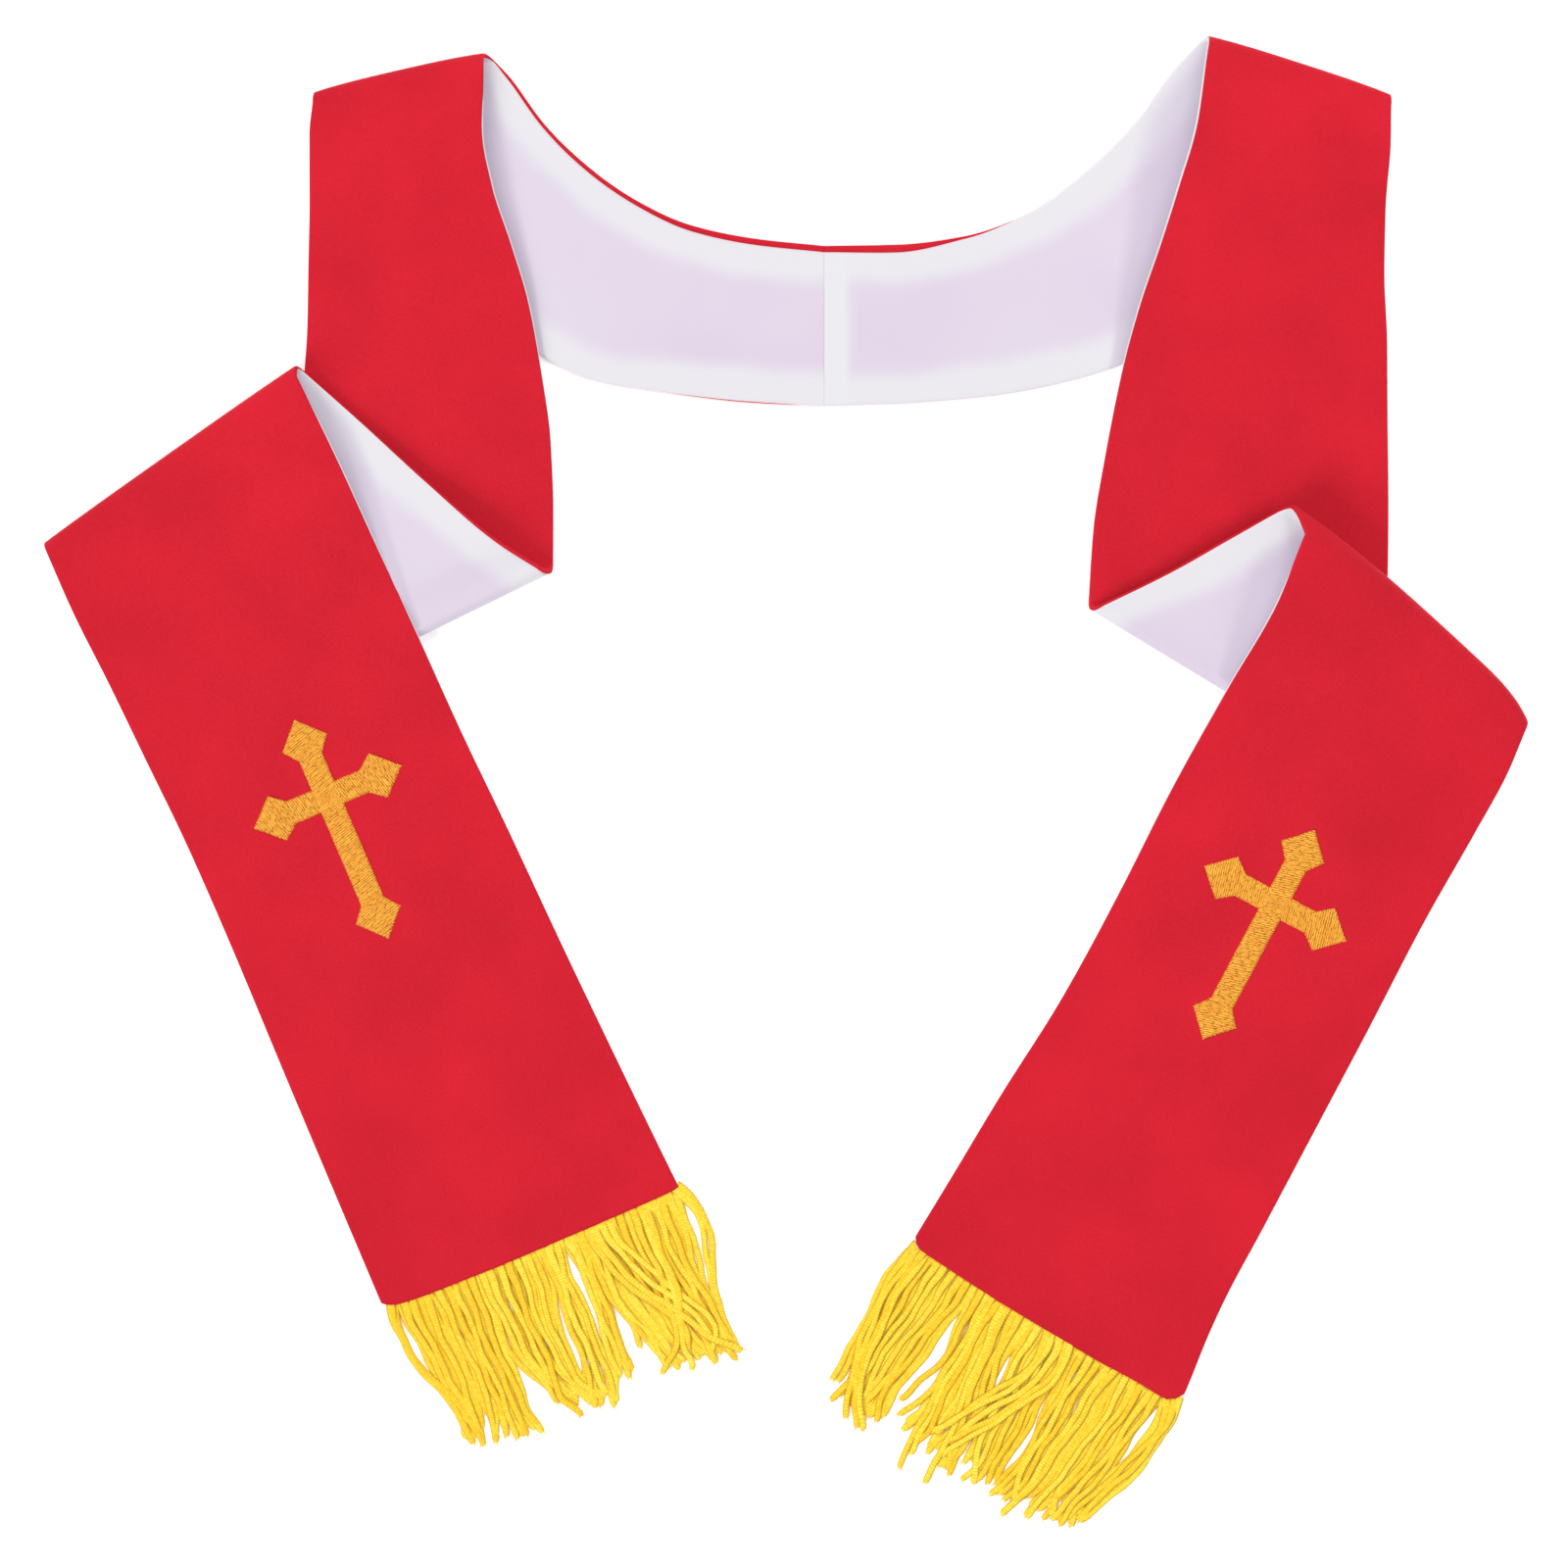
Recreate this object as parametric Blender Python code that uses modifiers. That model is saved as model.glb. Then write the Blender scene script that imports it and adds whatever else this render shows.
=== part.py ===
"""A clerical stole laid open on a flat surface and seen from above.

Frame: metres, +Z up, the surface at Z = 0. The neck band lies toward +Y and the two fringed
ends toward -Y. The origin is at the bottom centre of the bounding box.

Each side of the stole is one long panel of red cloth over one of white lining. It starts at
the centre-back seam with the lining up, turns over at the shoulder, at the lower fold and at
the upper fold, and ends red side up at the fringed hem. Every layer is modelled, one on the
other, so each side has four stretches joined by three rolled folds.
"""

import math
from collections import namedtuple

import bmesh
import bpy
import numpy as np
from mathutils import Vector
from mathutils.bvhtree import BVHTree

MM = 0.001

# Where the middle of the bounding box lies in the sections' measure, in millimetres
ORIGIN_X = 0.07
ORIGIN_Y = 1.85

# Cloth, in millimetres
WALL = 1.0          # thickness of the red cloth, and of the lining
SEAM_GAP = 0.3      # between the cloth and its lining, and between neighbours at a seam
REST = WALL + SEAM_GAP / 2      # height of the cloth's middle where it lies on the surface
ROW_STEP = 19.0     # longest step between two rows of the panel
ACROSS = 4          # cells across the panel
ROLL_STEPS = 6      # cells round a fold

# The embroidered cross, in millimetres: ends shaped as squares set on their corners
CROSS_THICK = 1.0
CROSS_CELL = 11.0       # longest edge before it is split to follow the cloth
CROSS_ARM = 32.8        # from the crossing to the tip of an arm
CROSS_HEAD = 34.2       # from the crossing up to the top tip
CROSS_FOOT = 62.8       # from the crossing down to the bottom tip
CROSS_HALF = 5.0        # half the width of post and bar
LOBE_HALF = 9.9         # half the width of an end
LOBE_CORNER = 10.4      # from the tip back to the end's widest place
LOBE_NECK = 16.6        # from the tip back to where the end meets post or bar

# The fringe, in millimetres
LANES = 28              # strands side by side in each of the two layers
STRAND_WIDTH = 2.0
STRAND_HEIGHT = 1.0
LAYER_GAP = 0.4         # between the two layers of strands
FRINGE_LIFT = 0.3       # lowest side of the strands above the surface
HEADER_DEPTH = 1.6      # of the strip that the strands hang from
HEADER_MARGIN = 1.5     # from the side of the hem to the end of that strip
STRAND_STEPS = 4        # cells along a strand
LANE_SWING = 0.35       # how far a strand wanders in its lane
END_UNEVEN = 5.0        # how much the strands differ in length
FRINGE_FULL = 68.0      # distance from the hem at which the tips' places are stated

# A section of a side, in millimetres: where the panel's inner and outer edges are, how high
# each lies above its place on the surface, and how much the middle is raised. A section with
# rolls is a fold: its place is the outline of the fold, its lift is that of the lower layer,
# and the roll is the radius at each edge.
Section = namedtuple(
    "Section",
    "place inner_x inner_y inner_lift outer_x outer_y outer_lift crown inner_roll outer_roll",
    defaults=(0.0, 0.0, 0.0),
)

LEFT_SECTIONS = [
    Section("centre back", 15.85, 219.5, 0.0, 15.85, 154.0, 0.0),
    Section("neck 1", -12.5, 222.5, 0.0, -14.0, 155.5, 0.0),
    Section("neck 2", -38.5, 228.0, 0.0, -48.5, 159.5, 0.0),
    Section("neck 3", -60.5, 238.0, 0.0, -78.5, 164.5, 0.0),
    Section("neck 4", -80.5, 252.0, 0.0, -110.5, 182.0, 0.0),
    Section("neck 5", -96.5, 269.0, 0.0, -143.5, 216.5, 0.0),
    Section("neck 6", -109.5, 288.0, 0.0, -171.5, 252.5, 0.0),
    Section("shoulder fold", -122.5, 298.0, 0.0, -192.5, 282.0, 0.0, 0.0, 3.6, 2.2),
    Section("front 1", -123.0, 268.0, 8.0, -194.0, 264.0, 4.2),
    Section("front 2", -119.0, 244.0, 7.6, -194.0, 238.0, 3.2),
    Section("front 3", -112.5, 220.0, 6.6, -194.5, 212.5, 2.1),
    Section("front 4", -105.5, 196.0, 5.4, -195.0, 186.0, 1.1),
    Section("front 5", -101.0, 172.0, 4.0, -197.0, 158.0, 0.4),
    Section("front 6", -96.5, 140.0, 1.7, -199.0, 124.0, 0.0),
    Section("front 7", -95.0, 112.0, 0.3, -201.0, 80.0, 0.0),
    Section("lower fold", -95.0, 86.0, 0.0, -202.0, 34.0, 0.0, 0.0, 2.0, 1.5),
    Section("turned 1", -118.0, 100.0, 8.5, -227.5, 51.0, 1.7),
    Section("turned 2", -146.5, 124.0, 6.4, -254.5, 68.0, 0.5),
    Section("turned 3", -173.0, 148.0, 4.8, -280.5, 84.0, 0.0),
    Section("upper fold", -199.0, 170.5, 6.0, -302.5, 98.0, 0.0, 0.0, 3.2, 3.0),
    Section("end 1", -186.0, 136.0, 13.2, -290.5, 70.0, 4.2),
    Section("end 2", -168.5, 100.0, 12.0, -275.5, 40.0, 3.2),
    Section("end 3", -151.0, 64.0, 8.8, -261.0, 10.0, 2.7, 1.0),
    Section("end 4", -132.5, 22.5, 3.2, -244.5, -24.5, 0.5, 0.8),
    Section("end 5", -113.0, -20.0, 0.4, -225.5, -68.0, 0.0),
    Section("end 6", -90.5, -68.0, 0.0, -205.5, -116.0, 0.0),
    Section("end 7", -67.5, -116.0, 0.0, -187.0, -160.0, 0.0),
    Section("hem", -43.0, -165.5, 0.0, -165.0, -212.0, 0.0),
]

RIGHT_SECTIONS = [
    Section("centre back", 16.15, 219.5, 0.0, 16.15, 154.0, 0.0),
    Section("neck 1", 45.5, 220.0, 0.0, 47.5, 155.0, 0.0),
    Section("neck 2", 73.5, 223.5, 0.0, 83.5, 158.0, 0.0),
    Section("neck 3", 99.5, 233.0, 0.0, 115.5, 164.0, 0.0),
    Section("neck 4", 123.5, 250.5, 0.0, 151.0, 177.0, 0.0),
    Section("neck 5", 143.5, 270.5, 0.0, 187.0, 209.0, 0.0),
    Section("neck 6", 158.0, 290.5, 0.0, 219.5, 245.0, 0.0),
    Section("shoulder fold", 172.5, 305.0, 0.0, 247.5, 281.0, 0.0, 0.0, 4.2, 2.4),
    Section("front 1", 167.0, 268.0, 9.2, 247.0, 260.0, 4.6),
    Section("front 2", 160.0, 244.0, 9.4, 245.0, 234.0, 3.6),
    Section("front 3", 152.5, 220.0, 8.8, 244.0, 208.0, 2.4),
    Section("front 4", 145.0, 196.0, 7.2, 245.0, 180.0, 1.3),
    Section("front 5", 138.5, 172.0, 5.0, 245.0, 152.0, 0.5),
    Section("front 6", 131.0, 136.0, 2.2, 245.5, 112.0, 0.0),
    Section("front 7", 126.5, 104.0, 0.4, 245.0, 64.0, 0.0),
    Section("lower fold", 125.0, 71.0, 0.0, 241.5, 0.0, 0.0, 0.0, 2.4, 1.5),
    Section("turned 1", 155.5, 86.0, 8.6, 261.5, 5.5, 2.6),
    Section("turned 2", 183.5, 103.5, 12.0, 283.0, 12.5, 0.8),
    Section("upper fold", 212.0, 112.0, 9.6, 302.5, 24.0, 0.0, 0.0, 5.0, 3.6),
    Section("end 1", 199.5, 73.0, 16.5, 294.5, 4.0, 5.6),
    Section("end 2", 180.5, 40.0, 9.8, 280.5, -20.0, 3.7, 1.2),
    Section("end 3", 157.5, -2.0, 3.4, 259.5, -57.0, 0.8, 0.8),
    Section("end 4", 136.5, -44.0, 0.4, 237.5, -99.5, 0.0),
    Section("end 5", 113.0, -87.5, 0.0, 215.5, -142.0, 0.0),
    Section("end 6", 87.5, -128.0, 0.0, 194.5, -182.0, 0.0),
    Section("end 7", 69.5, -158.0, 0.0, 179.0, -212.0, 0.0),
    Section("hem", 52.5, -186.0, 0.0, 161.5, -252.0, 0.0),
]

# A bunch of the fringe: the share of the hem that it hangs from, where its tips end along the
# hem in millimetres from the inner corner, and how far its first and last strands reach.
Bunch = namedtuple("Bunch", "from_share to_share from_tip to_tip from_reach to_reach")

LEFT_BUNCHES = [
    Bunch(0.00, 0.36, -2.0, 29.0, 66.0, 68.0),
    Bunch(0.36, 0.44, 32.5, 39.0, 52.0, 52.0),
    Bunch(0.44, 0.58, 42.0, 54.0, 62.0, 70.0),
    Bunch(0.58, 0.76, 57.0, 83.0, 72.0, 62.0),
    Bunch(0.76, 1.00, 90.0, 117.0, 73.0, 66.0),
]

RIGHT_BUNCHES = [
    Bunch(0.00, 0.30, 0.0, 26.0, 64.0, 70.0),
    Bunch(0.30, 0.55, 34.0, 56.0, 64.0, 75.0),
    Bunch(0.55, 0.75, 62.0, 91.0, 75.0, 70.0),
    Bunch(0.75, 1.00, 94.0, 120.0, 74.0, 60.0),
]

# Where each cross's post and bar meet, and the way its post points, in millimetres
Badge = namedtuple("Badge", "x y up_x up_y")

LEFT_BADGE = Badge(-186.5, -5.5, -0.392, 0.920)
RIGHT_BADGE = Badge(200.0, -49.0, 0.470, 0.883)

# Materials: linear colour and roughness
RED = (0.72, 0.019, 0.038)
WHITE = (0.79, 0.72, 0.82)
GOLD = (0.86, 0.33, 0.04)
YELLOW = (0.90, 0.66, 0.08)


def clear_scene():
    """Remove what the scene starts with."""
    for item in list(bpy.data.objects):
        bpy.data.objects.remove(item, do_unlink=True)


def material(name, colour, roughness):
    """A plain Principled material."""
    made = bpy.data.materials.new(name)
    made.use_nodes = True
    shader = made.node_tree.nodes["Principled BSDF"]
    shader.inputs["Base Color"].default_value = (*colour, 1.0)
    shader.inputs["Roughness"].default_value = roughness
    shader.inputs["Metallic"].default_value = 0.0
    return made


def unit(vector):
    """The vector at length 1."""
    return vector / np.linalg.norm(vector)


def edges_of(section):
    """The section's inner and outer edge points, at the height of the cloth's middle."""
    origin = np.array([ORIGIN_X, ORIGIN_Y, -REST])
    inner = np.array([section.inner_x, section.inner_y, section.inner_lift])
    outer = np.array([section.outer_x, section.outer_y, section.outer_lift])
    return inner - origin, outer - origin


def knot(inner, outer, crown):
    """One row of a stretch: inner edge, outer edge and crown."""
    return np.concatenate([inner, outer, [crown]])


def rolled(before, fold, after):
    """The rows round a fold, from its lower layer to its upper layer.

    The row at turn a has its height at lift + r + r sin a, and it lies r (1 - cos a) inside
    the fold's outline. Along the fold it drifts by r |a| tan b, where b is the angle at which
    the panel's edge crosses the fold.
    """
    inner, outer = edges_of(fold)
    line = unit((outer - inner)[:2])
    away = np.array([-line[1], line[0]])
    middle_before = sum(edges_of(before))[:2] / 2
    if away @ (middle_before - (inner + outer)[:2] / 2) > 0:
        away = -away
    rows = []
    for turn in np.linspace(-math.pi / 2, math.pi / 2, ROLL_STEPS + 1):
        neighbour = edges_of(before if turn < 0 else after)
        points = []
        for place, other, radius in zip(
            (inner, outer), neighbour, (fold.inner_roll, fold.outer_roll)
        ):
            way = unit(other[:2] - place[:2])
            drift = radius * abs(turn) * (way @ line) / (-(way @ away))
            inset = REST + radius * (1 - math.cos(turn))
            flat = place[:2] - away * inset + line * drift
            points.append(np.array([*flat, place[2] + radius * (1 + math.sin(turn))]))
        rows.append(knot(*points, 0.0))
    return rows


def eased(knots):
    """Rows through the knots, never overshooting them, level where they meet a fold."""
    knots = np.array(knots)
    middle = (knots[:, 0:3] + knots[:, 3:6]) / 2
    span = np.linalg.norm(np.diff(middle, axis=0), axis=1)[:, None]
    rise = np.diff(knots, axis=0) / span
    slope = np.zeros_like(knots)
    slope[0], slope[-1] = rise[0], rise[-1]
    slope[[0, -1]] *= np.array([1, 1, 0, 1, 1, 0, 1])
    product = rise[:-1] * rise[1:]
    total = rise[:-1] + rise[1:]
    slope[1:-1] = np.where(product > 0, 2 * product / np.where(product > 0, total, 1.0), 0.0)
    rows = []
    for i, length in enumerate(span[:, 0]):
        steps = max(1, math.ceil(length / ROW_STEP))
        for t in np.arange(steps)[:, None] / steps:
            rows.append(
                (1 + 2 * t) * (1 - t) ** 2 * knots[i]
                + t * (1 - t) ** 2 * length * slope[i]
                + t * t * (3 - 2 * t) * knots[i + 1]
                - t * t * (1 - t) * length * slope[i + 1]
            )
    return rows + [knots[-1]]


def panel_rows(sections):
    """All rows of a side, through its stretches and round its folds."""
    rows, stretch = [], []
    for i, section in enumerate(sections):
        if section.inner_roll:
            turn = rolled(sections[i - 1], section, sections[i + 1])
            rows += eased(stretch + [turn[0]]) + turn[1:-1]
            stretch = [turn[-1]]
        else:
            stretch.append(knot(*edges_of(section), section.crown))
    return np.array(rows + eased(stretch))


def panel_surface(rows):
    """The grid of points midway between the cloth and its lining.

    Across a row the point is (1 - v) inner + v outer, raised by 4 v (1 - v) crown.
    """
    v = np.linspace(0, 1, ACROSS + 1)[None, :, None]
    grid = (1 - v) * rows[:, None, 0:3] + v * rows[:, None, 3:6]
    grid[:, :, 2] += 4 * v[:, :, 0] * (1 - v[:, :, 0]) * rows[:, 6:7]
    return grid


def red_side(grid, side):
    """Unit normals of the grid on the side of the red cloth."""
    along = np.gradient(grid, axis=0)
    across = np.gradient(grid, axis=1)
    normal = np.cross(along, across) * side
    return normal / np.linalg.norm(normal, axis=2, keepdims=True)


def add_object(name, mesh, collection, look, root):
    """Put the mesh in the scene as a named part."""
    made = bpy.data.objects.new(name, mesh)
    mesh.materials.append(look)
    collection.objects.link(made)
    made.parent = root
    return made


def solidify(made, thickness):
    """Give an open surface its thickness, on the side that its faces look to."""
    wall = made.modifiers.new("Wall", "SOLIDIFY")
    wall.thickness = thickness * MM
    wall.offset = 1.0
    wall.use_even_offset = True
    wall.use_quality_normals = True


def cloth(name, grid, normals, out, side, collection, look, root):
    """A wall of cloth on the grid, moved out to one side of it.

    Every cell is split along the same diagonal in the cloth and in the lining, so the gap
    between the two stays even where the panel twists.
    """
    points = grid + normals * (SEAM_GAP / 2) * out
    count, width = grid.shape[:2]
    index = np.arange(count * width).reshape(count, width)
    a, b, c, d = index[:-1, :-1], index[1:, :-1], index[1:, 1:], index[:-1, 1:]
    halves = np.stack([a, b, c, a, c, d], axis=-1).reshape(-1, 3)
    if side * out < 0:
        halves = halves[:, ::-1]
    mesh = bpy.data.meshes.new(name)
    mesh.from_pydata((points.reshape(-1, 3) * MM).tolist(), [], halves.tolist())
    mesh.shade_smooth()
    made = add_object(name, mesh, collection, look, root)
    solidify(made, WALL)
    return made


def cross_outline():
    """The cross round its outline, as (across, up) from where post and bar meet."""
    quarter_tips = [
        (CROSS_HEAD, (0, 1)),
        (CROSS_ARM, (1, 0)),
        (CROSS_FOOT, (0, -1)),
        (CROSS_ARM, (-1, 0)),
    ]
    outline = []
    for reach, (ax, ay) in quarter_tips:
        for back, aside in (
            (reach - CROSS_HALF, -CROSS_HALF),
            (LOBE_NECK, -CROSS_HALF),
            (LOBE_CORNER, -LOBE_HALF),
            (0.0, 0.0),
            (LOBE_CORNER, LOBE_HALF),
            (LOBE_NECK, CROSS_HALF),
        ):
            out = reach - back
            outline.append((ax * out + ay * aside, ay * out - ax * aside))
    return outline


def cross(name, badge, cloth_object, collection, look, root):
    """The raised cross: its outline filled, laid on the cloth and moved out from it."""
    shape = bmesh.new()
    for x, y in cross_outline():
        shape.verts.new((x, y, 0.0))
    shape.faces.new(shape.verts)
    for at in (CROSS_HALF, -CROSS_HALF):
        for normal in ((1, 0, 0), (0, 1, 0)):
            everything = shape.verts[:] + shape.edges[:] + shape.faces[:]
            bmesh.ops.bisect_plane(
                shape, geom=everything, plane_co=Vector(normal) * at, plane_no=normal, dist=1e-5
            )
    for normal, low, high in (
        ((1, 0, 0), -CROSS_ARM, CROSS_ARM),
        ((0, 1, 0), -CROSS_FOOT, CROSS_HEAD),
    ):
        for at in np.arange(low + CROSS_CELL, high, CROSS_CELL):
            everything = shape.verts[:] + shape.edges[:] + shape.faces[:]
            bmesh.ops.bisect_plane(
                shape, geom=everything, plane_co=Vector(normal) * at, plane_no=normal, dist=0.4
            )
    up = Vector((badge.up_x, badge.up_y)).normalized()
    right = Vector((up.y, -up.x))
    middle = Vector((badge.x - ORIGIN_X, badge.y - ORIGIN_Y))
    graph = bpy.context.evaluated_depsgraph_get()
    graph.update()
    below = BVHTree.FromObject(cloth_object, graph)
    for vert in shape.verts:
        flat = middle + right * vert.co.x + up * vert.co.y
        start = Vector((flat.x * MM, flat.y * MM, 1.0))
        hit, normal = below.ray_cast(start, Vector((0, 0, -1)))[:2]
        vert.co = hit + normal * SEAM_GAP * MM
    bmesh.ops.recalc_face_normals(shape, faces=shape.faces[:])
    if sum(face.normal.z for face in shape.faces) < 0:
        bmesh.ops.reverse_faces(shape, faces=shape.faces[:])
    mesh = bpy.data.meshes.new(name)
    shape.to_mesh(mesh)
    shape.free()
    made = add_object(name, mesh, collection, look, root)
    solidify(made, CROSS_THICK)
    return made


def strand_path(bunches, share, root, lane, layer):
    """Where a strand's middle goes: pairs of (along the hem, out from the hem).

    At a distance d from the hem it has moved from its root r towards its tip t, to
    r + (t - r) (d / FRINGE_FULL)^1.4, and it swings in its lane by a fixed small wave.
    Neighbours keep their order at every distance, so none cross.
    """
    bunch = next(b for b in bunches if share <= b.to_share)
    part = (share - bunch.from_share) / (bunch.to_share - bunch.from_share)
    tip = bunch.from_tip + part * (bunch.to_tip - bunch.from_tip)
    reach = bunch.from_reach + part * (bunch.to_reach - bunch.from_reach)
    reach -= END_UNEVEN * (0.5 + 0.5 * math.sin(2.7 * lane + 1.9 * layer))
    path = []
    for d in np.linspace(0, reach, STRAND_STEPS + 1)[1:]:
        s = d / FRINGE_FULL
        swing = LANE_SWING * math.sin(5 * s + 2.1 * lane) * s
        path.append((root + (tip - root) * s**1.4 + swing, d))
    return path


def fringe(name, sections, bunches, side, collection, look, root):
    """A header strip with its strands drawn out of it, cell by cell."""
    hem = sections[-1]
    inner, outer = (edge[:2] for edge in edges_of(hem))
    length = np.linalg.norm(outer - inner)
    along = (outer - inner) / length
    out = np.array([along[1], -along[0]]) * side

    columns = [HEADER_MARGIN]
    pitch = (length - 2 * HEADER_MARGIN) / LANES
    for lane in range(LANES):
        middle = HEADER_MARGIN + (lane + 0.5) * pitch
        columns += [middle - STRAND_WIDTH / 2, middle + STRAND_WIDTH / 2]
    columns.append(length - HEADER_MARGIN)
    low = FRINGE_LIFT
    high = low + STRAND_HEIGHT + LAYER_GAP
    levels = [low, low + STRAND_HEIGHT, high, high + STRAND_HEIGHT]

    def place(a, d, z):
        flat = inner + along * a + out * (SEAM_GAP + d)
        return Vector((flat[0] * MM, flat[1] * MM, z * MM))

    shape = bmesh.new()
    front = [[shape.verts.new(place(a, HEADER_DEPTH, z)) for a in columns] for z in levels]
    back = [
        shape.verts.new(place(a, 0.0, z))
        for a, z in (
            (columns[0], levels[0]),
            (columns[-1], levels[0]),
            (columns[-1], levels[-1]),
            (columns[0], levels[-1]),
        )
    ]
    roots = []
    for row in range(len(levels) - 1):
        for column in range(len(columns) - 1):
            face = shape.faces.new(
                (
                    front[row][column],
                    front[row][column + 1],
                    front[row + 1][column + 1],
                    front[row + 1][column],
                )
            )
            if row != 1 and column % 2 == 1:
                roots.append((face, (column - 1) // 2, row // 2))
    shape.faces.new(back)
    shape.faces.new([back[0], back[1]] + front[0][::-1])
    shape.faces.new([back[3], back[2]] + front[-1][::-1])
    shape.faces.new([back[0], back[3]] + [line[0] for line in front[::-1]])
    shape.faces.new([back[1], back[2]] + [line[-1] for line in front[::-1]])

    for face, lane, layer in roots:
        share = (lane + 0.5) / LANES
        middle = HEADER_MARGIN + (lane + 0.5) * pitch
        for a, d in strand_path(bunches, share, middle, lane, layer):
            face = bmesh.ops.extrude_discrete_faces(shape, faces=[face])["faces"][0]
            for vert in face.verts:
                at = (np.array(vert.co.xy) / MM - inner) @ along
                sideways = math.copysign(STRAND_WIDTH / 2, at - middle)
                vert.co = place(a + sideways, HEADER_DEPTH + d, vert.co.z / MM)
            middle = a
    bmesh.ops.recalc_face_normals(shape, faces=shape.faces[:])
    mesh = bpy.data.meshes.new(name)
    shape.to_mesh(mesh)
    shape.free()
    return add_object(name, mesh, collection, look, root)


def build():
    """Both sides of the stole."""
    clear_scene()
    collection = bpy.data.collections.new("clerical_stole")
    bpy.context.scene.collection.children.link(collection)
    root = bpy.data.objects.new("stole_origin", None)
    collection.objects.link(root)

    looks = {
        "face": material("red_cloth", RED, 0.7),
        "lining": material("white_lining", WHITE, 0.75),
        "cross": material("gold_embroidery", GOLD, 0.5),
        "fringe": material("yellow_fringe", YELLOW, 0.55),
    }
    for word, side, sections, bunches, badge in (
        ("left", -1, LEFT_SECTIONS, LEFT_BUNCHES, LEFT_BADGE),
        ("right", 1, RIGHT_SECTIONS, RIGHT_BUNCHES, RIGHT_BADGE),
    ):
        grid = panel_surface(panel_rows(sections))
        normals = red_side(grid, side)
        place = (collection, looks["face"], root)
        face = cloth(f"face_{word}", grid, normals, 1, side, *place)
        place = (collection, looks["lining"], root)
        cloth(f"lining_{word}", grid, normals, -1, side, *place)
        cross(f"cross_{word}", badge, face, collection, looks["cross"], root)
        fringe(f"fringe_{word}", sections, bunches, side, collection, looks["fringe"], root)


build()
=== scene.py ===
"""The clerical stole as it was laid out and photographed from straight above.

Frame: metres, +Z up, the surface at Z = 0, the neck band toward +Y. Sizes in the tables are
millimetres. Each side of the stole is one long panel of red cloth bagged out with a white
lining. It starts at the centre-back seam with the lining up, turns over at the shoulder, at
the lower fold and at the upper fold, and ends red side up at the fringed hem.
"""

import math
from collections import namedtuple

import bpy
import numpy as np
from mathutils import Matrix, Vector


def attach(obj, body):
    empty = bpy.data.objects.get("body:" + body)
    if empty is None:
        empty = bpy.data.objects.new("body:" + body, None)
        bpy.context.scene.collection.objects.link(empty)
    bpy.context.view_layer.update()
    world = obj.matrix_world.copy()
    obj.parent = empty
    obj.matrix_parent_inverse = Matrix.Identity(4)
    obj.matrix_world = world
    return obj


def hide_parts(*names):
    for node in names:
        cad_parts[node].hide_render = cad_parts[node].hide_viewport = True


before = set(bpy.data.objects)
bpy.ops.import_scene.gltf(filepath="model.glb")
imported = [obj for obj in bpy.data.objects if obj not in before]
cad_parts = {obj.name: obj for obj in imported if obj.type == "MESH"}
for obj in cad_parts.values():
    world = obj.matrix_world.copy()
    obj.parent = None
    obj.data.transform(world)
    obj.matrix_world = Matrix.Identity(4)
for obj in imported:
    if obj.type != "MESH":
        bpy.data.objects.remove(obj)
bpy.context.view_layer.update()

MM = 0.001

# Where the middle of the bounding box lies in the tables' measure
ORIGIN_X = 0.07
ORIGIN_Y = 1.85

# Cloth
REST = 1.15  # height of the cloth's middle where it lies on the surface
HALF = 1.1  # from the cloth's middle to its red side, and to its lining side
SHELL = 0.35  # thickness of the red cloth, and of the lining
MEASURE = 100.0  # millimetres to a unit of a piece's own measure
ROW_STEP = 3.0  # longest step between two rows of a panel
ROLL_STEPS = 18  # rows round a fold
END_ROWS = (0.08, 0.2, 0.4, 0.7, 1.1, 1.6, 2.2)  # where extra rows are, from both ends
WIDTH_STEPS = 48  # cells across the measured surface of a panel
EDGE_CELLS = 12  # cells of a cloth round each edge
FLAT_CELLS = 40  # cells of a cloth between its edges
RED_EDGE = 0.8  # how far the red cloth's edge cells go past the rounded edge
LINING_EDGE = 4.4  # how far the lining's go
SEAM_DEPTH = 0.45  # how far both cloths dip where they are sewn together
SEAM_WIDTH = 0.45  # how wide that dip is
SHALLOW = 0.25  # share of the dip that is left where the seam lies on the edge
SHALLOW_WIDTH = 1.4  # how far from the edge a seam still dips that little
TUCK_DEPTH = 0.4  # how far under the red the lining starts
TUCK_WIDTH = 0.3  # how wide that hidden start is
PIPE_HEIGHT = 0.35  # how far a red edge that is turned over stands up
PIPE_WIDTH = 1.6  # widest turned edge that doesn't stand up
BACK_SEAM_CLOSE = 0.78  # share of the cloth's thickness left at the centre-back seam
BACK_SEAM_WIDTH = 0.6  # how far from that seam the cloth is full again
HEM_CLOSE = 0.995  # how fully the cloth is rounded off at the hem
HEM_EASE = 26.0  # length over which the panel eases into its bowed hem


def table(kind, *rows):
    """A list of things of one kind, from the values in each row."""
    return [kind(*row) for row in rows]


# A section of a side: where the panel's inner and outer edges are, how high each lies above
# its place on the surface, how much the middle is raised, and how much red shows from the
# lining side along either edge, or how much lining from the red side where it is negative. A
# section with rolls is a fold, with the roll's radius at either edge, how many times wider
# than high the upper half of the roll is, how far the inner edge slips along the fold in that
# half, and how far the fold bows out at its fullest place, a share of its length.
Section = namedtuple(
    "Section",
    "inner_x inner_y inner_lift outer_x outer_y outer_lift crown inner_red outer_red"
    " inner_roll outer_roll reach slip bow fullest",
    defaults=(0.0, 0.0, 1.0, 0.0, 0.0, 0.5),
)

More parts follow.
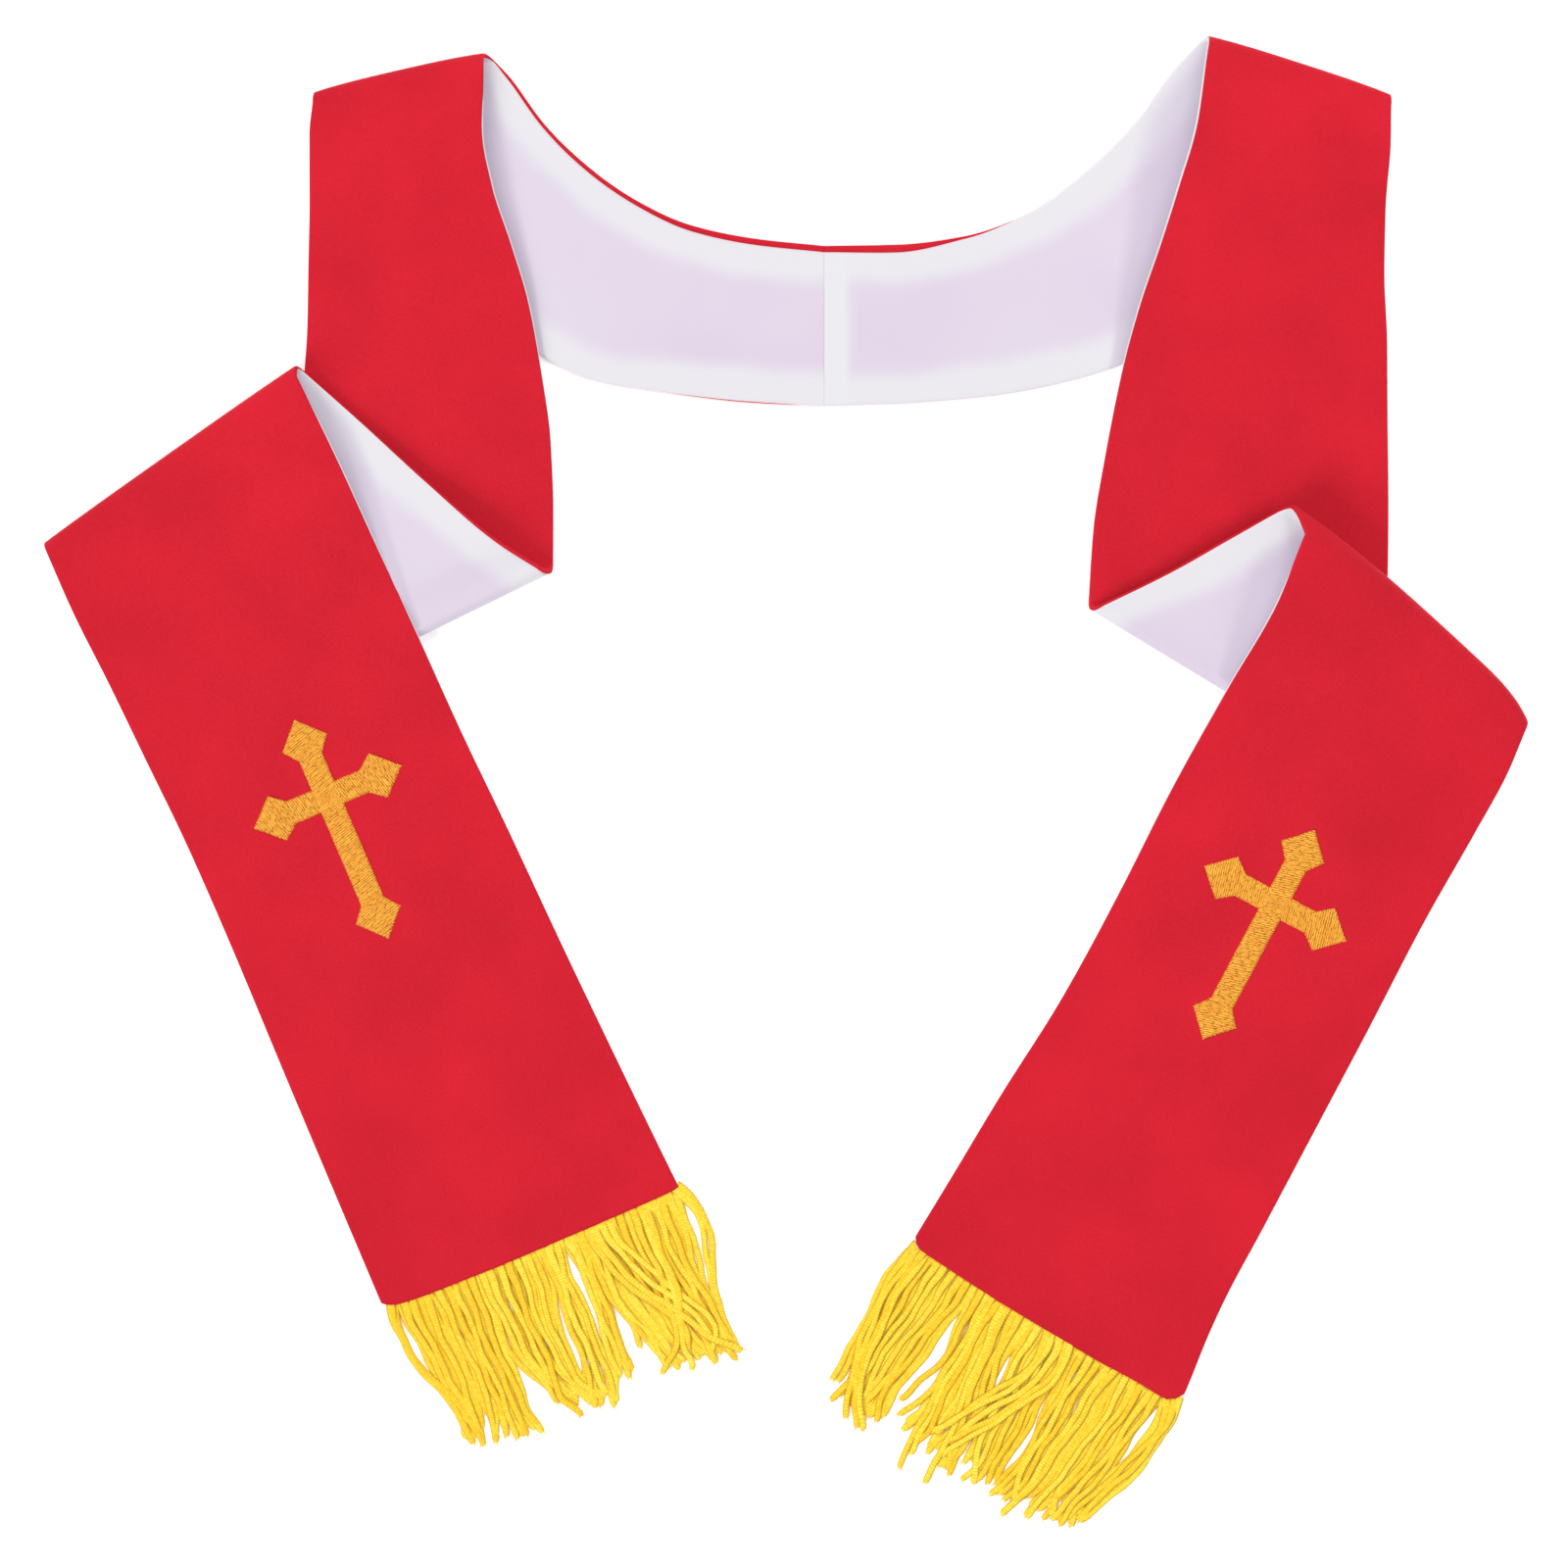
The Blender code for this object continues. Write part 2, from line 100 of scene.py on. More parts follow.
LEFT_SECTIONS = table(
    Section,
    # Along the neck from the centre back
    (16, 219.5, 0, 16, 154, 0, 0, 2.6, -0.15),
    (-12.5, 222.5, 0, -14, 155.5, 0, 0, 2.6, 0.2),
    (-38.5, 228, 0, -48.5, 159.5, 0, 0, 2.4, 0),
    (-60.5, 238, 0, -78.5, 164.5, 0, 0, 2, -0.15),
    (-80.5, 252, 0, -110.5, 182, 0, 0, 1.9, -0.15),
    (-98, 269, 0, -143.5, 216.5, 0, 0, 1.5, -0.15),
    (-112, 288, 0, -171.5, 252.5, 0, 0, 1.3, -0.15),
    # Shoulder fold
    (-122.5, 298, 0, -192.5, 282, 0, 0, 0.6, -0.15, 3.6, 2.2, 1.3, 0, 1.1),
    # Down the front
    (-123, 268, 7, -194, 264, 4.2, 0, -0.45, 0.1),
    (-119, 244, 6.2, -194, 238, 3.2, 0, -0.45, 0.1),
    (-111.2, 220, 5.2, -194.5, 212.5, 2.1, 0, -0.45, 0.1),
    (-104.1, 196, 4.4, -195, 186, 1.1, 0, -0.45, 0.1),
    (-99.8, 172, 4, -197, 158, 0.4, 0, -0.25, 0.1),
    (-95.6, 140, 1.7, -199, 124, 0, 0, 0.1, 0.1),
    (-94.6, 112, 0.3, -201, 80, 0, 0, 0.4, 0.1),
    # Lower fold
    (-95, 86, 0.15, -202, 34, 0, 0, 1.8, -0.15, 3, 1.5, 1.2),
    # The turned stretch
    (-118, 100, 9.8, -227.5, 51, 1.7, 0, 1.4, -0.15),
    (-146.5, 124, 6.4, -254.5, 68, 0.5, 0, 0.8, -0.15),
    (-173, 148, 4.8, -280.5, 84, 0, 0, 0.4, -0.15),
    # Upper fold
    (-199, 170.5, 6, -302.5, 98, 0, 0, 0.2, 0.1, 3.2, 3, 1, 1.5, 0.5),
    # The end with the cross
    (-183.8, 136, 10, -290.5, 70, 4.2, 0, -0.4, 0.1),
    (-167.4, 100, 8.8, -275.5, 40, 3.2, 0, -0.35, 0.1),
    (-151, 64, 6.4, -261, 10, 2.7, 1, -0.3, 0.1),
    (-132.5, 22.5, 3.2, -244.5, -24.5, 0.5, 0.8, -0.05, 0.1),
    (-112.4, -20, 0.4, -225.5, -68, 0, 0, 0.05, 0.05),
    (-90, -68, 0, -205.5, -116, 0, 0, 0.05, 0.05),
    (-67, -116, 0, -187, -160, 0, 0, 0.05, 0.05),
    # Hem
    (-43, -165.5, 0, -165, -212, 0, 0, 0.05, 0.05),
)

RIGHT_SECTIONS = table(
    Section,
    # Along the neck from the centre back
    (16, 219.5, 0, 16, 154, 0, 0, 2.6, -0.15),
    (45.5, 220, 0, 47.5, 155, 0, 0, 3.2, -0.15),
    (73.5, 223.5, 0, 83.5, 158, 0, 0, 1.1, -0.15),
    (99.5, 233, 0, 115.5, 164, 0, 0, -0.1, -0.15),
    (123.5, 250.5, 0, 151, 177, 0, 0, -0.1, -0.15),
    (143.5, 270.5, 0, 187, 209, 0, 0, -0.1, -0.15),
    (158, 290.5, 0, 219.5, 245, 0, 0, -0.1, -0.15),
    # Shoulder fold
    (172.5, 305, 0, 247.5, 281, 0, 0, -0.4, -0.15, 4.2, 2.4, 1.6, 0, 1),
    # Down the front
    (167, 268, 9.2, 247, 260, 4.6, 0, -0.7, 0.1),
    (160, 244, 9.4, 245, 234, 3.6, 0, -0.7, 0.1),
    (152.5, 220, 8.8, 244.6, 208, 2.4, 0, -0.6, 0.1),
    (144.4, 196, 7.2, 245.8, 180, 1.3, 0, -0.5, 0.1),
    (138, 172, 5, 246, 152, 0.5, 0, -0.3, 0.1),
    (131, 136, 2.2, 246.4, 112, 0, 0, 0.1, 0.1),
    (125.9, 104, 0.4, 245.7, 64, 0, 0, 0.4, 0.1),
    # Lower fold
    (124, 71, 0, 241.5, 0, 0, 0, 1.1, -0.15, 3, 1.5, 1.2),
    # The turned stretch
    (155.5, 86, 8.6, 261.5, 5.5, 2.6, 0, 0.9, -0.15),
    (183.5, 101.8, 12, 283, 12.5, 0.8, 0, 0.9, -0.15),
    # Upper fold
    (206.8, 113.6, 9.6, 302.8, 25.5, 0, 0, 0.6, 0.1, 5, 3.6, 1, 6.5, 5, 0.74),
    # The end with the cross
    (199.5, 73, 14, 294.5, 4, 5.6, 0, -0.45, 0.1),
    (180.5, 40, 9.8, 281.5, -20, 3.7, 1.2, -0.45, 0.1),
    (157.5, -2, 3.4, 260.7, -57, 0.8, 0.8, -0.3, 0.1),
    (136.5, -44, 0.4, 238.7, -99.5, 0, 0, -0.1, 0.1),
    (113, -87.5, 0, 216.2, -142, 0, 0, 0.05, 0.05),
    (87.5, -128, 0, 195, -182, 0, 0, 0.05, 0.05),
    (69.5, -158, 0, 179, -212, 0, 0, 0.05, 0.05),
    # Hem
    (52.5, -186, 0, 161.5, -252, 0, 0, 0.05, 0.05),
)

# A soft ridge in the cloth: the stretch of the panel that it is in, the line that it runs
# along as seen from above, how high it stands and how wide it is.
Ridge = namedtuple("Ridge", "stretch from_x from_y to_x to_y height width")

RIDGE_SWAY = 0.12  # how far a ridge's line sways aside, a share of its length
RIDGE_TURN = 2.6  # how far the sway's wave turns over that length, in radians
RIDGE_PAST = 0.25  # how far a ridge goes on past its line's ends, a share of its length
RIDGE_FADE = 0.6  # the share of its length over which it fades in and out
RIDGE_CLEAR = 18.0  # length over which it fades beside a fold

NECK, FRONT, TURNED, END = range(4)

LEFT_RIDGES = table(
    Ridge,
    (NECK, -30, 186, 12, 182, 0.5, 9),
    (NECK, -110, 240, -60, 196, 0.6, 10),
    (FRONT, -132, 262, -150, 150, 0.9, 12),
    (FRONT, -180, 210, -170, 120, 0.7, 11),
    (TURNED, -166, 126, -150, 66, 0.9, 5),
    (TURNED, -118, 86, -150, 78, 0.5, 7),
    (END, -226, 96, -200, 30, 0.9, 13),
    (END, -260, 60, -230, -20, 0.6, 12),
    (END, -150, -10, -140, -80, 0.6, 11),
    (END, -190, -90, -150, -110, 0.4, 10),
)

RIGHT_RIDGES = table(
    Ridge,
    (NECK, 30, 186, 80, 190, 0.5, 10),
    (NECK, 120, 210, 168, 240, 0.6, 10),
    (FRONT, 180, 250, 170, 150, 0.9, 12),
    (FRONT, 220, 220, 222, 140, 0.7, 11),
    (TURNED, 184, 90, 178, 44, 0.8, 5),
    (END, 236, 44, 232, 0, 0.9, 12),
    (END, 200, 10, 176, -30, 0.6, 12),
    (END, 166, -110, 176, -140, 0.6, 10),
    (END, 110, -150, 150, -190, 0.4, 11),
)

# Where the lining is shaded beside a layer over it: the lining's stretch, the stretch over
# it, how low down the shade ends and how wide it is.
LEFT_SHADES = [(NECK, FRONT, 180.0, 9.0), (TURNED, END, 58.0, 11.0)]
RIGHT_SHADES = [(NECK, FRONT, 165.0, 20.0), (TURNED, END, 30.0, 16.0)]

# How far the hem bows out from the straight line between its corners: pairs of the distance
# along the hem from the inner corner and the bow.
LEFT_BOW = [
    (0.0, -1.0), (2.5, -0.1), (12.0, 0.5), (40.0, 1.8), (80.0, 3.4), (112.0, 3.8),
    (124.0, 3.3), (128.0, 2.3), (130.56, 0.2),
]
RIGHT_BOW = [
    (0.0, -1.4), (1.5, 1.6), (3.5, 2.5), (20.0, 3.2), (42.0, 3.9), (90.0, 3.7),
    (110.0, 2.6), (121.0, 2.9), (124.0, 2.0), (126.2, 0.2), (127.42, -3.2),
]

# A lock of the fringe: how many strands, in which layer from the surface up, and where its
# first and last strand is along the hem at the root, 20 mm out, 42 mm out and at the tip,
# and how far the first and last tip are from the hem.
Lock = namedtuple(
    "Lock",
    "strands layer root_from root_to near_from near_to far_from far_to tip_from tip_to"
    " reach_from reach_to",
)

LEFT_LOCKS = table(
    Lock,
    (2, 0, 0.8, 2.4, -4.6, -2.6, 0.6, 2.4, -1, 2.5, 68, 65),
    (23, 0, 3.4, 43, 2.6, 41, 4.2, 37, 1.5, 28.5, 66, 66),
    (8, 1, 8, 30, 9, 29, 6.5, 25, 1.5, 20, 67, 69),
    (4, 2, 31, 41, 26, 38.5, 13, 26, 4, 13, 69, 66),
    (3, 2, 15, 21, 15.5, 20.5, 16, 20.5, 23, 28.6, 66, 67),
    (3, 1, 39, 44.5, 40, 43.5, 37.6, 39, 34.5, 37, 50, 56),
    (5, 0, 45, 51.5, 44.6, 49, 44.6, 49, 44.6, 53, 62, 69),
    (3, 1, 46, 51, 45.4, 48.6, 45.6, 49.8, 46, 51, 61, 66),
    (5, 0, 53.5, 61, 54.5, 60.6, 53.2, 60.5, 55.5, 65, 72, 71),
    (3, 1, 55, 62, 56, 61.6, 55, 62.4, 57, 62, 73, 70),
    (14, 0, 63.5, 89, 63.2, 88.2, 66.5, 87.2, 61, 81, 68, 60),
    (6, 1, 68, 88, 68.5, 87, 69, 84, 63, 76, 70, 64),
    (1, 2, 76, 76, 76.5, 76.5, 75.5, 75.5, 73.6, 73.6, 72, 72),
    (10, 0, 90.5, 109, 90.5, 107.4, 90.2, 105, 90, 106, 73, 68),
    (5, 1, 92, 107, 92.5, 105.5, 92, 104, 91, 103.5, 71, 70),
    (8, 0, 110.5, 123, 110.2, 122.2, 107, 118.6, 108.5, 117, 63, 65),
    (3, 1, 112, 122.5, 112, 121.5, 111, 117.5, 111.5, 115.8, 68, 64),
    (2, 1, 125.2, 127, 127.2, 127.8, 119.5, 121.2, 115.5, 117.2, 66, 64),
)

RIGHT_LOCKS = table(
    Lock,
    (3, 0, 2.5, 6, -1.2, 3, 0.4, 4.4, 0.6, 4, 64, 61),
    (14, 0, 6.5, 30, 4.5, 30.5, 5.4, 28.2, 6, 26.5, 69, 66),
    (6, 1, 9, 28, 8.5, 27, 8, 24, 10, 22, 75, 71),
    (4, 2, 2, 8, 0.4, 6.5, 2.4, 8, 12, 17, 76, 76),
    (1, 2, 34.5, 34.5, 35.6, 35.6, 34.4, 34.4, 25.6, 25.6, 60, 60),
    (8, 0, 32, 44, 33.5, 43.5, 38.4, 45, 36, 44.5, 66, 69),
    (3, 1, 37.5, 43, 38.5, 43, 39.5, 44, 41, 46, 77, 74),
    (1, 1, 40, 40, 39.6, 39.6, 38.5, 38.5, 33.8, 33.8, 63, 63),
    (9, 0, 45.5, 61, 45, 57.6, 46.5, 58, 46, 60, 68, 72),
    (4, 1, 45, 54, 46.5, 55, 50, 60, 54.6, 60.5, 77, 72),
    (5, 2, 65, 77, 67, 79, 57, 70, 50.5, 60, 62, 66),
    (10, 0, 61.8, 79.5, 61, 79, 62.6, 80, 64.8, 79.5, 66, 66),
    (4, 1, 62.5, 76, 62.4, 75, 64.5, 76, 69, 75, 72, 71),
    (10, 0, 80.5, 100, 80.5, 99.5, 83.6, 99.6, 80.5, 95, 71, 65),
    (5, 1, 83, 99, 83.5, 97, 84, 96, 86, 92, 73, 76),
    (10, 0, 101, 119, 101, 118, 100.5, 116.5, 97, 113, 72, 64),
    (5, 1, 103, 118, 104, 117, 102.5, 115, 99, 109, 72, 70),
    (5, 0, 120, 126, 123.2, 128.6, 117.5, 125, 113, 119, 64, 61),
    (2, 1, 122, 125.5, 125, 127.6, 119, 123, 114.5, 118, 62, 68),
)

# Fringe
STRAND_WIDTH = 3.1
STRAND_HEIGHT = 0.82
STRAND_ROWS = 122  # rings along a strand, two to a loop of the chain
STRAND_SIDES = 6
LAYER_HEIGHTS = (0.56, 1.24, 1.9)
LAYER_UNEVEN = 0.12  # how far a strand is above or below its layer at most
LOOP_WAIST = 0.83  # how narrow a strand is between two loops of its chain
ROOT_DEPTH = 1.2  # how far the roots go into the hem
ROOT_FLAT = 0.45  # share of its height that a strand has at its root
ROOT_WIDER = 0.38  # how much wider a strand is near its root
NEAR, FAR = 20.0, 42.0  # the locks' two distances from the hem between root and tip
JITTER = 0.22  # how far a strand is from its even place in a lock, in strands
TIP_SPREAD = 1.0, 0.7  # spread of the tips along the hem, and how much more a layer up
REACH_SPREAD = 2.4  # spread of the tips' distances from the hem
HOOK_SPREAD = 1.0, 0.8  # spread of the hooks at the tips, and how much more a layer up
HOOK_LENGTH = 15.0
SWAYS = ((0.55, 30.0), (0.12, 12.0))  # how far the strands sway, and how long a wave is
SETTLE = 9.0  # length over which a strand reaches its layer, and drops at its tip
TIP_DROP = 0.8  # how far it drops there
TIP_TAPER = 0.72  # share of its width that it has at its very tip
FRAY_THREADS = 4  # loose threads at a strand's cut end
FRAY_ROWS = 5
FRAY_SIDES = 4
FRAY_LENGTHS = 1.0, 2.6
FRAY_SPREAD = 1.3  # how far they spread to each side
FRAY_HALF = 0.24  # half their thickness

# Embroidery: a cross whose ends are squares set on their corners
CROSS_ARM = 32.8
CROSS_HEAD = 34.2
CROSS_FOOT = 62.8
CROSS_HALF = 5.0
LOBE_HALF = 9.9
LOBE_CORNER = 10.4
LOBE_NECK = 16.6
THREAD_PITCH = 0.46
THREAD_WIDTH = 0.54
THREAD_HEIGHT = 0.36
PAIR_DIP = 0.13  # how far every second thread lies under the first
THREAD_SLANT = 15.0  # degrees that the threads lean from square across a limb
STITCH_LENGTH = 4.6
STITCH_UNEVEN = 0.9  # how far a stitch's end is from its even place
STITCH_SHORTEST = 0.25
STITCH_DIP = 0.17  # how far a stitch dips at both of its ends
STITCH_ROWS = 5
STITCH_SIDES = 6
SATIN_RISE = 0.85  # how far the middle of a limb stands over the cloth
SATIN_EDGE = 1.3  # width over which it rises from its edge
POST_RISE = 0.32  # how much higher the post is where it lies over the arms
POST_CROSSING = 14.0  # how far from the crossing's middle it is back on the cloth
POST_EASE = 6.0  # length over which it comes down

# Lining: the borders where cloth is turned in under it, and the shade under a layer
TURNED_INNER, TURNED_OUTER = 15.5, 14.5
TURNED_WAVES = 2.0, 2.2  # how uneven the two borders are
TURNED_SOFT = 9.0
TURNED_SHOWN = 0.86  # how far they whiten the lining
ALLOWANCE = 10.6  # width of the border beside the centre-back seam
ALLOWANCE_SOFT = 2.4
SHADE_TIP = 0.25  # share of its width that a shade has at its far end
SHADE_START = 0.9  # how many widths further off the layer is taken to be at its near end
NO_SHADE = 3.0  # shade widths away at which none is left
PAINTED_LINING_GLOW = 0.10  # painted light: the lining glows a little, standing in for light through the thin cloth, which lightens its shadows

# Studio, in metres and watts
FLOOR_SIZE = 12.0
FLOOR_GLOW = 0.30  # the surface is lit a little from below, which pales the shadows
SKY = 0.40  # strength of the even white light from all round
FIELD = 0.640  # width that the photograph shows
LENS, SENSOR = 200.0, 36.0
AIM = (-0.00047, -0.00205, 0.0023)

Lamp = namedtuple("Lamp", "name place size power")

LAMPS = (
    Lamp("key", (-4.0, -4.6, 4.0), 4.0, 310.0),
    Lamp("right_fill", (2.4, 0.4, 2.3), 2.0, 19.0),
    Lamp("far_fill", (1.2, 2.3, 2.4), 2.0, 39.0),
    Lamp("left_fill", (-1.4, 2.2, 2.4), 2.0, 37.0),
)

# Where the random draws start, plus the side's sign
CROSS_SEED, FRINGE_SEED = 5, 21

# Where the middle of a cross is, and which way its head points
Badge = namedtuple("Badge", "x y up_x up_y")

# All that one side is made from, the left with the sign -1 and the right with 1
Side = namedtuple("Side", "word sign sections ridges shades bow locks badge")

LEFT = Side(
    "left", -1, LEFT_SECTIONS, LEFT_RIDGES, LEFT_SHADES, LEFT_BOW, LEFT_LOCKS,
    Badge(-186.5, -5.5, -0.392, 0.920),
)
RIGHT = Side(
    "right", 1, RIGHT_SECTIONS, RIGHT_RIDGES, RIGHT_SHADES, RIGHT_BOW, RIGHT_LOCKS,
    Badge(200.0, -49.0, 0.470, 0.883),
)

UP = np.array([0.0, 0.0, 1.0])


def unit(vector):
    """The vector at length 1."""
    return vector / np.linalg.norm(vector)


def units(vectors):
    """An array of vectors, each at length 1."""
    return vectors / np.linalg.norm(vectors, axis=-1, keepdims=True)


def headings(middles):
    """Which way each path runs at each of its points, and the level way across it there."""
    forward = units(np.gradient(middles, axis=1))
    return forward, units(np.cross(forward, UP))


def smooth(t):
    """0 below 0, 1 above 1 and 3 t^2 - 2 t^3 between them."""
    t = np.clip(t, 0.0, 1.0)
    return t * t * (3 - 2 * t)


def edges_of(section):
    """The section's inner and outer edge points, at the height of the cloth's middle."""
    origin = np.array([ORIGIN_X, ORIGIN_Y, -REST])
    inner = np.array([section.inner_x, section.inner_y, section.inner_lift])
    outer = np.array([section.outer_x, section.outer_y, section.outer_lift])
    return inner - origin, outer - origin


def knot(inner, outer, section, crown, bow=(0.0, 0.0)):
    """One row of a stretch: its edges, crown, the red along both edges, and the fold's bow."""
    reds = [crown, section.inner_red, section.outer_red]
    return np.concatenate([inner, outer, reds, bow, [section.fullest]])


def rolled(before, fold, after):
    """The rows round a fold, from its lower layer to its upper layer.

    The row at turn a has its height at lift + r + r sin a, and it lies r (1 - cos a) inside
    the fold's outline, or the fold's reach times that in the upper half. Along the fold it
    drifts by the length of the turn so far times tan b, where b is the angle at which the
    panel's edge crosses the fold.
    """
    inner, outer = edges_of(fold)
    line = unit((outer - inner)[:2])
    away = np.array([-line[1], line[0]])
    middle_before = sum(edges_of(before))[:2] / 2
    if away @ (middle_before - (inner + outer)[:2] / 2) > 0:
        away = -away
    rows = []
    for turn in np.linspace(-math.pi / 2, math.pi / 2, ROLL_STEPS + 1):
        neighbour = edges_of(before if turn < 0 else after)
        points = []
        for place, other, radius in zip(
            (inner, outer), neighbour, (fold.inner_roll, fold.outer_roll)
        ):
            way = unit(other[:2] - place[:2])
            wide = radius * (fold.reach if turn > 0 else 1.0)
            drift = (radius + wide) / 2 * abs(turn) * (way @ line) / (-(way @ away))
            if place is inner and turn > 0:
                drift += fold.slip * (2 * turn / math.pi) ** 1.5
            inset = REST + wide * (1 - math.cos(turn))
            flat = place[:2] - away * inset + line * drift
            points.append(np.array([*flat, place[2] + radius * (1 + math.sin(turn))]))
        rows.append(knot(*points, fold, 0.0, away * fold.bow))
    return rows


def eased(knots):
    """Rows through the knots, never overshooting them, level where they meet a fold."""
    knots = np.array(knots)
    middle = (knots[:, 0:3] + knots[:, 3:6]) / 2
    span = np.linalg.norm(np.diff(middle, axis=0), axis=1)[:, None]
    rise = np.diff(knots, axis=0) / span
    slope = np.zeros_like(knots)
    slope[0], slope[-1] = rise[0], rise[-1]
    slope[[0, -1]] *= np.array([1, 1, 0, 1, 1, 0, 1, 1, 1, 0, 0, 0])
    product = rise[:-1] * rise[1:]
    total = rise[:-1] + rise[1:]
    slope[1:-1] = np.where(product > 0, 2 * product / np.where(product > 0, total, 1.0), 0.0)
    rows = []
    for i, length in enumerate(span[:, 0]):
        steps = max(1, math.ceil(length / ROW_STEP))
        for t in np.arange(steps)[:, None] / steps:
            rows.append(
                (1 + 2 * t) * (1 - t) ** 2 * knots[i]
                + t * (1 - t) ** 2 * length * slope[i]
                + t * t * (3 - 2 * t) * knots[i + 1]
                - t * t * (1 - t) * length * slope[i + 1]
            )
    return rows + [knots[-1]]


def panel_rows(sections):
    """All rows of a side, and for each the stretch that it is in, counted from the neck."""
    rows, stretches, knots = [], [], []
    for i, section in enumerate(sections):
        if section.inner_roll:
            turn = rolled(sections[i - 1], section, sections[i + 1])
            added = eased(knots + [turn[0]]) + turn[1:-1]
            rows += added
            stretches += [len(set(stretches))] * len(added)
            knots = [turn[-1]]
        else:
            knots.append(knot(*edges_of(section), section, section.crown))
    added = eased(knots)
    return np.array(rows + added), np.array(stretches + [END] * len(added))


def closer_rows(rows, stretches):
    """The rows with more of them close to both ends, where the cloth is rounded off."""
    middle = (rows[:, 0:3] + rows[:, 3:6]) / 2
    along = np.concatenate([[0.0], np.cumsum(np.linalg.norm(np.diff(middle, axis=0), axis=1))])
    near = np.array(END_ROWS)
    wanted = np.unique(np.concatenate([along, near, along[-1] - near]))
    finer = np.stack([np.interp(wanted, along, column) for column in rows.T], axis=1)
    return finer, stretches[np.searchsorted(along, wanted, side="left")], wanted


def middle_surface(rows, stretches, along, ridges, bow, side):
    """The regular grid of points midway between the cloth and its lining.

    Across a row the point is (1 - v) inner + v outer, raised by 4 v (1 - v) crown. A fold's
    bow moves it out by bow (1 - |u|^3), where u runs from -1 over 0 at the fullest place to 1.
    A ridge raises it by height exp(-(d / width)^2), where d is the distance from the ridge's
    line, and fades out at both of the line's ends and toward the folds. Near the hem the
    point moves out from the hem by its bow.
    """
    v = np.linspace(0, 1, WIDTH_STEPS + 1)[None, :, None]
    grid = (1 - v) * rows[:, None, 0:3] + v * rows[:, None, 3:6]
    grid[:, :, 2] += 4 * v[:, :, 0] * (1 - v[:, :, 0]) * rows[:, 6:7]
    fullest = rows[:, 11:12]
    off = (v[:, :, 0] - fullest) / np.where(v[:, :, 0] < fullest, fullest, 1 - fullest)
    grid[:, :, :2] += (1 - np.abs(off) ** 3)[:, :, None] * rows[:, None, 9:11]
    for ridge in ridges:
        start = np.array([ridge.from_x - ORIGIN_X, ridge.from_y - ORIGIN_Y])
        way = np.array([ridge.to_x - ridge.from_x, ridge.to_y - ridge.from_y])
        length = np.linalg.norm(way)
        way = way / length
        off = grid[:, :, :2] - start
        t = off @ way / length
        sway = RIDGE_SWAY * length * np.sin(RIDGE_TURN * t + ridge.height)
        d = off @ np.array([-way[1], way[0]]) + sway
        fade = smooth((t + RIDGE_PAST) / RIDGE_FADE) * smooth((1 + RIDGE_PAST - t) / RIDGE_FADE)
        inside = along[stretches == ridge.stretch]
        to_fold = np.minimum(along - inside[0], inside[-1] - along)
        ends = smooth(to_fold / RIDGE_CLEAR - 0.3)
        grid[:, :, 2] += ridge.height * np.exp(-((d / ridge.width) ** 2)) * fade * ends[:, None]
    hem = rows[-1, 3:5] - rows[-1, 0:2]
    length = np.linalg.norm(hem)
    out = np.array([hem[1], -hem[0]]) / length * side
    at = np.linspace(0, length, WIDTH_STEPS + 1)
    move = np.interp(at, *np.array(bow).T)
    ease = smooth(1 - (along[-1] - along) / HEM_EASE)
    grid[:, :, :2] += (ease[:, None] * move[None, :])[:, :, None] * out
    return grid


def red_side(grid, side):
    """Unit normals of the grid on the side of the red cloth."""
    along = np.gradient(grid, axis=0)
    across = np.gradient(grid, axis=1)
    return units(np.cross(along, across) * side)


def across_at(grid, share):
    """The grid's values at the given shares of its width, one set of shares for each row."""
    place = np.clip(share, 0, 1) * (grid.shape[1] - 1)
    low = np.minimum(place.astype(int), grid.shape[1] - 2)
    part = (place - low)[:, :, None]
    pick = lambda index: np.take_along_axis(grid, index[:, :, None], axis=1)
    return pick(low) * (1 - part) + pick(low + 1) * part


def round_edge(inset):
    """How far round the edge a seam lies that is seen the inset away from the edge.

    The edge is a half circle of radius HALF, so up to there the distance is
    HALF acos(1 - inset / HALF), and beyond it the cloth is flat.
    """
    size = np.abs(inset)
    turn = HALF * np.arccos(1 - np.minimum(size, HALF) / HALF)
    return np.sign(inset) * np.where(size < HALF, turn, HALF * math.pi / 2 + size - HALF)


def contour(q):
    """The edge's profile at q, measured round it from its outermost line.

    Returns the distance in from the edge, the height over the cloth's middle, and the
    profile's outward direction as the same two parts. Beyond a quarter turn it is flat.
    """
    turn = np.clip(q / HALF, -math.pi / 2, math.pi / 2)
    beyond = np.sign(q) * np.maximum(np.abs(q) - HALF * math.pi / 2, 0)
    inward = HALF * (1 - np.cos(turn)) + np.abs(beyond)
    return inward, HALF * np.sin(turn), -np.cos(turn), np.sin(turn)


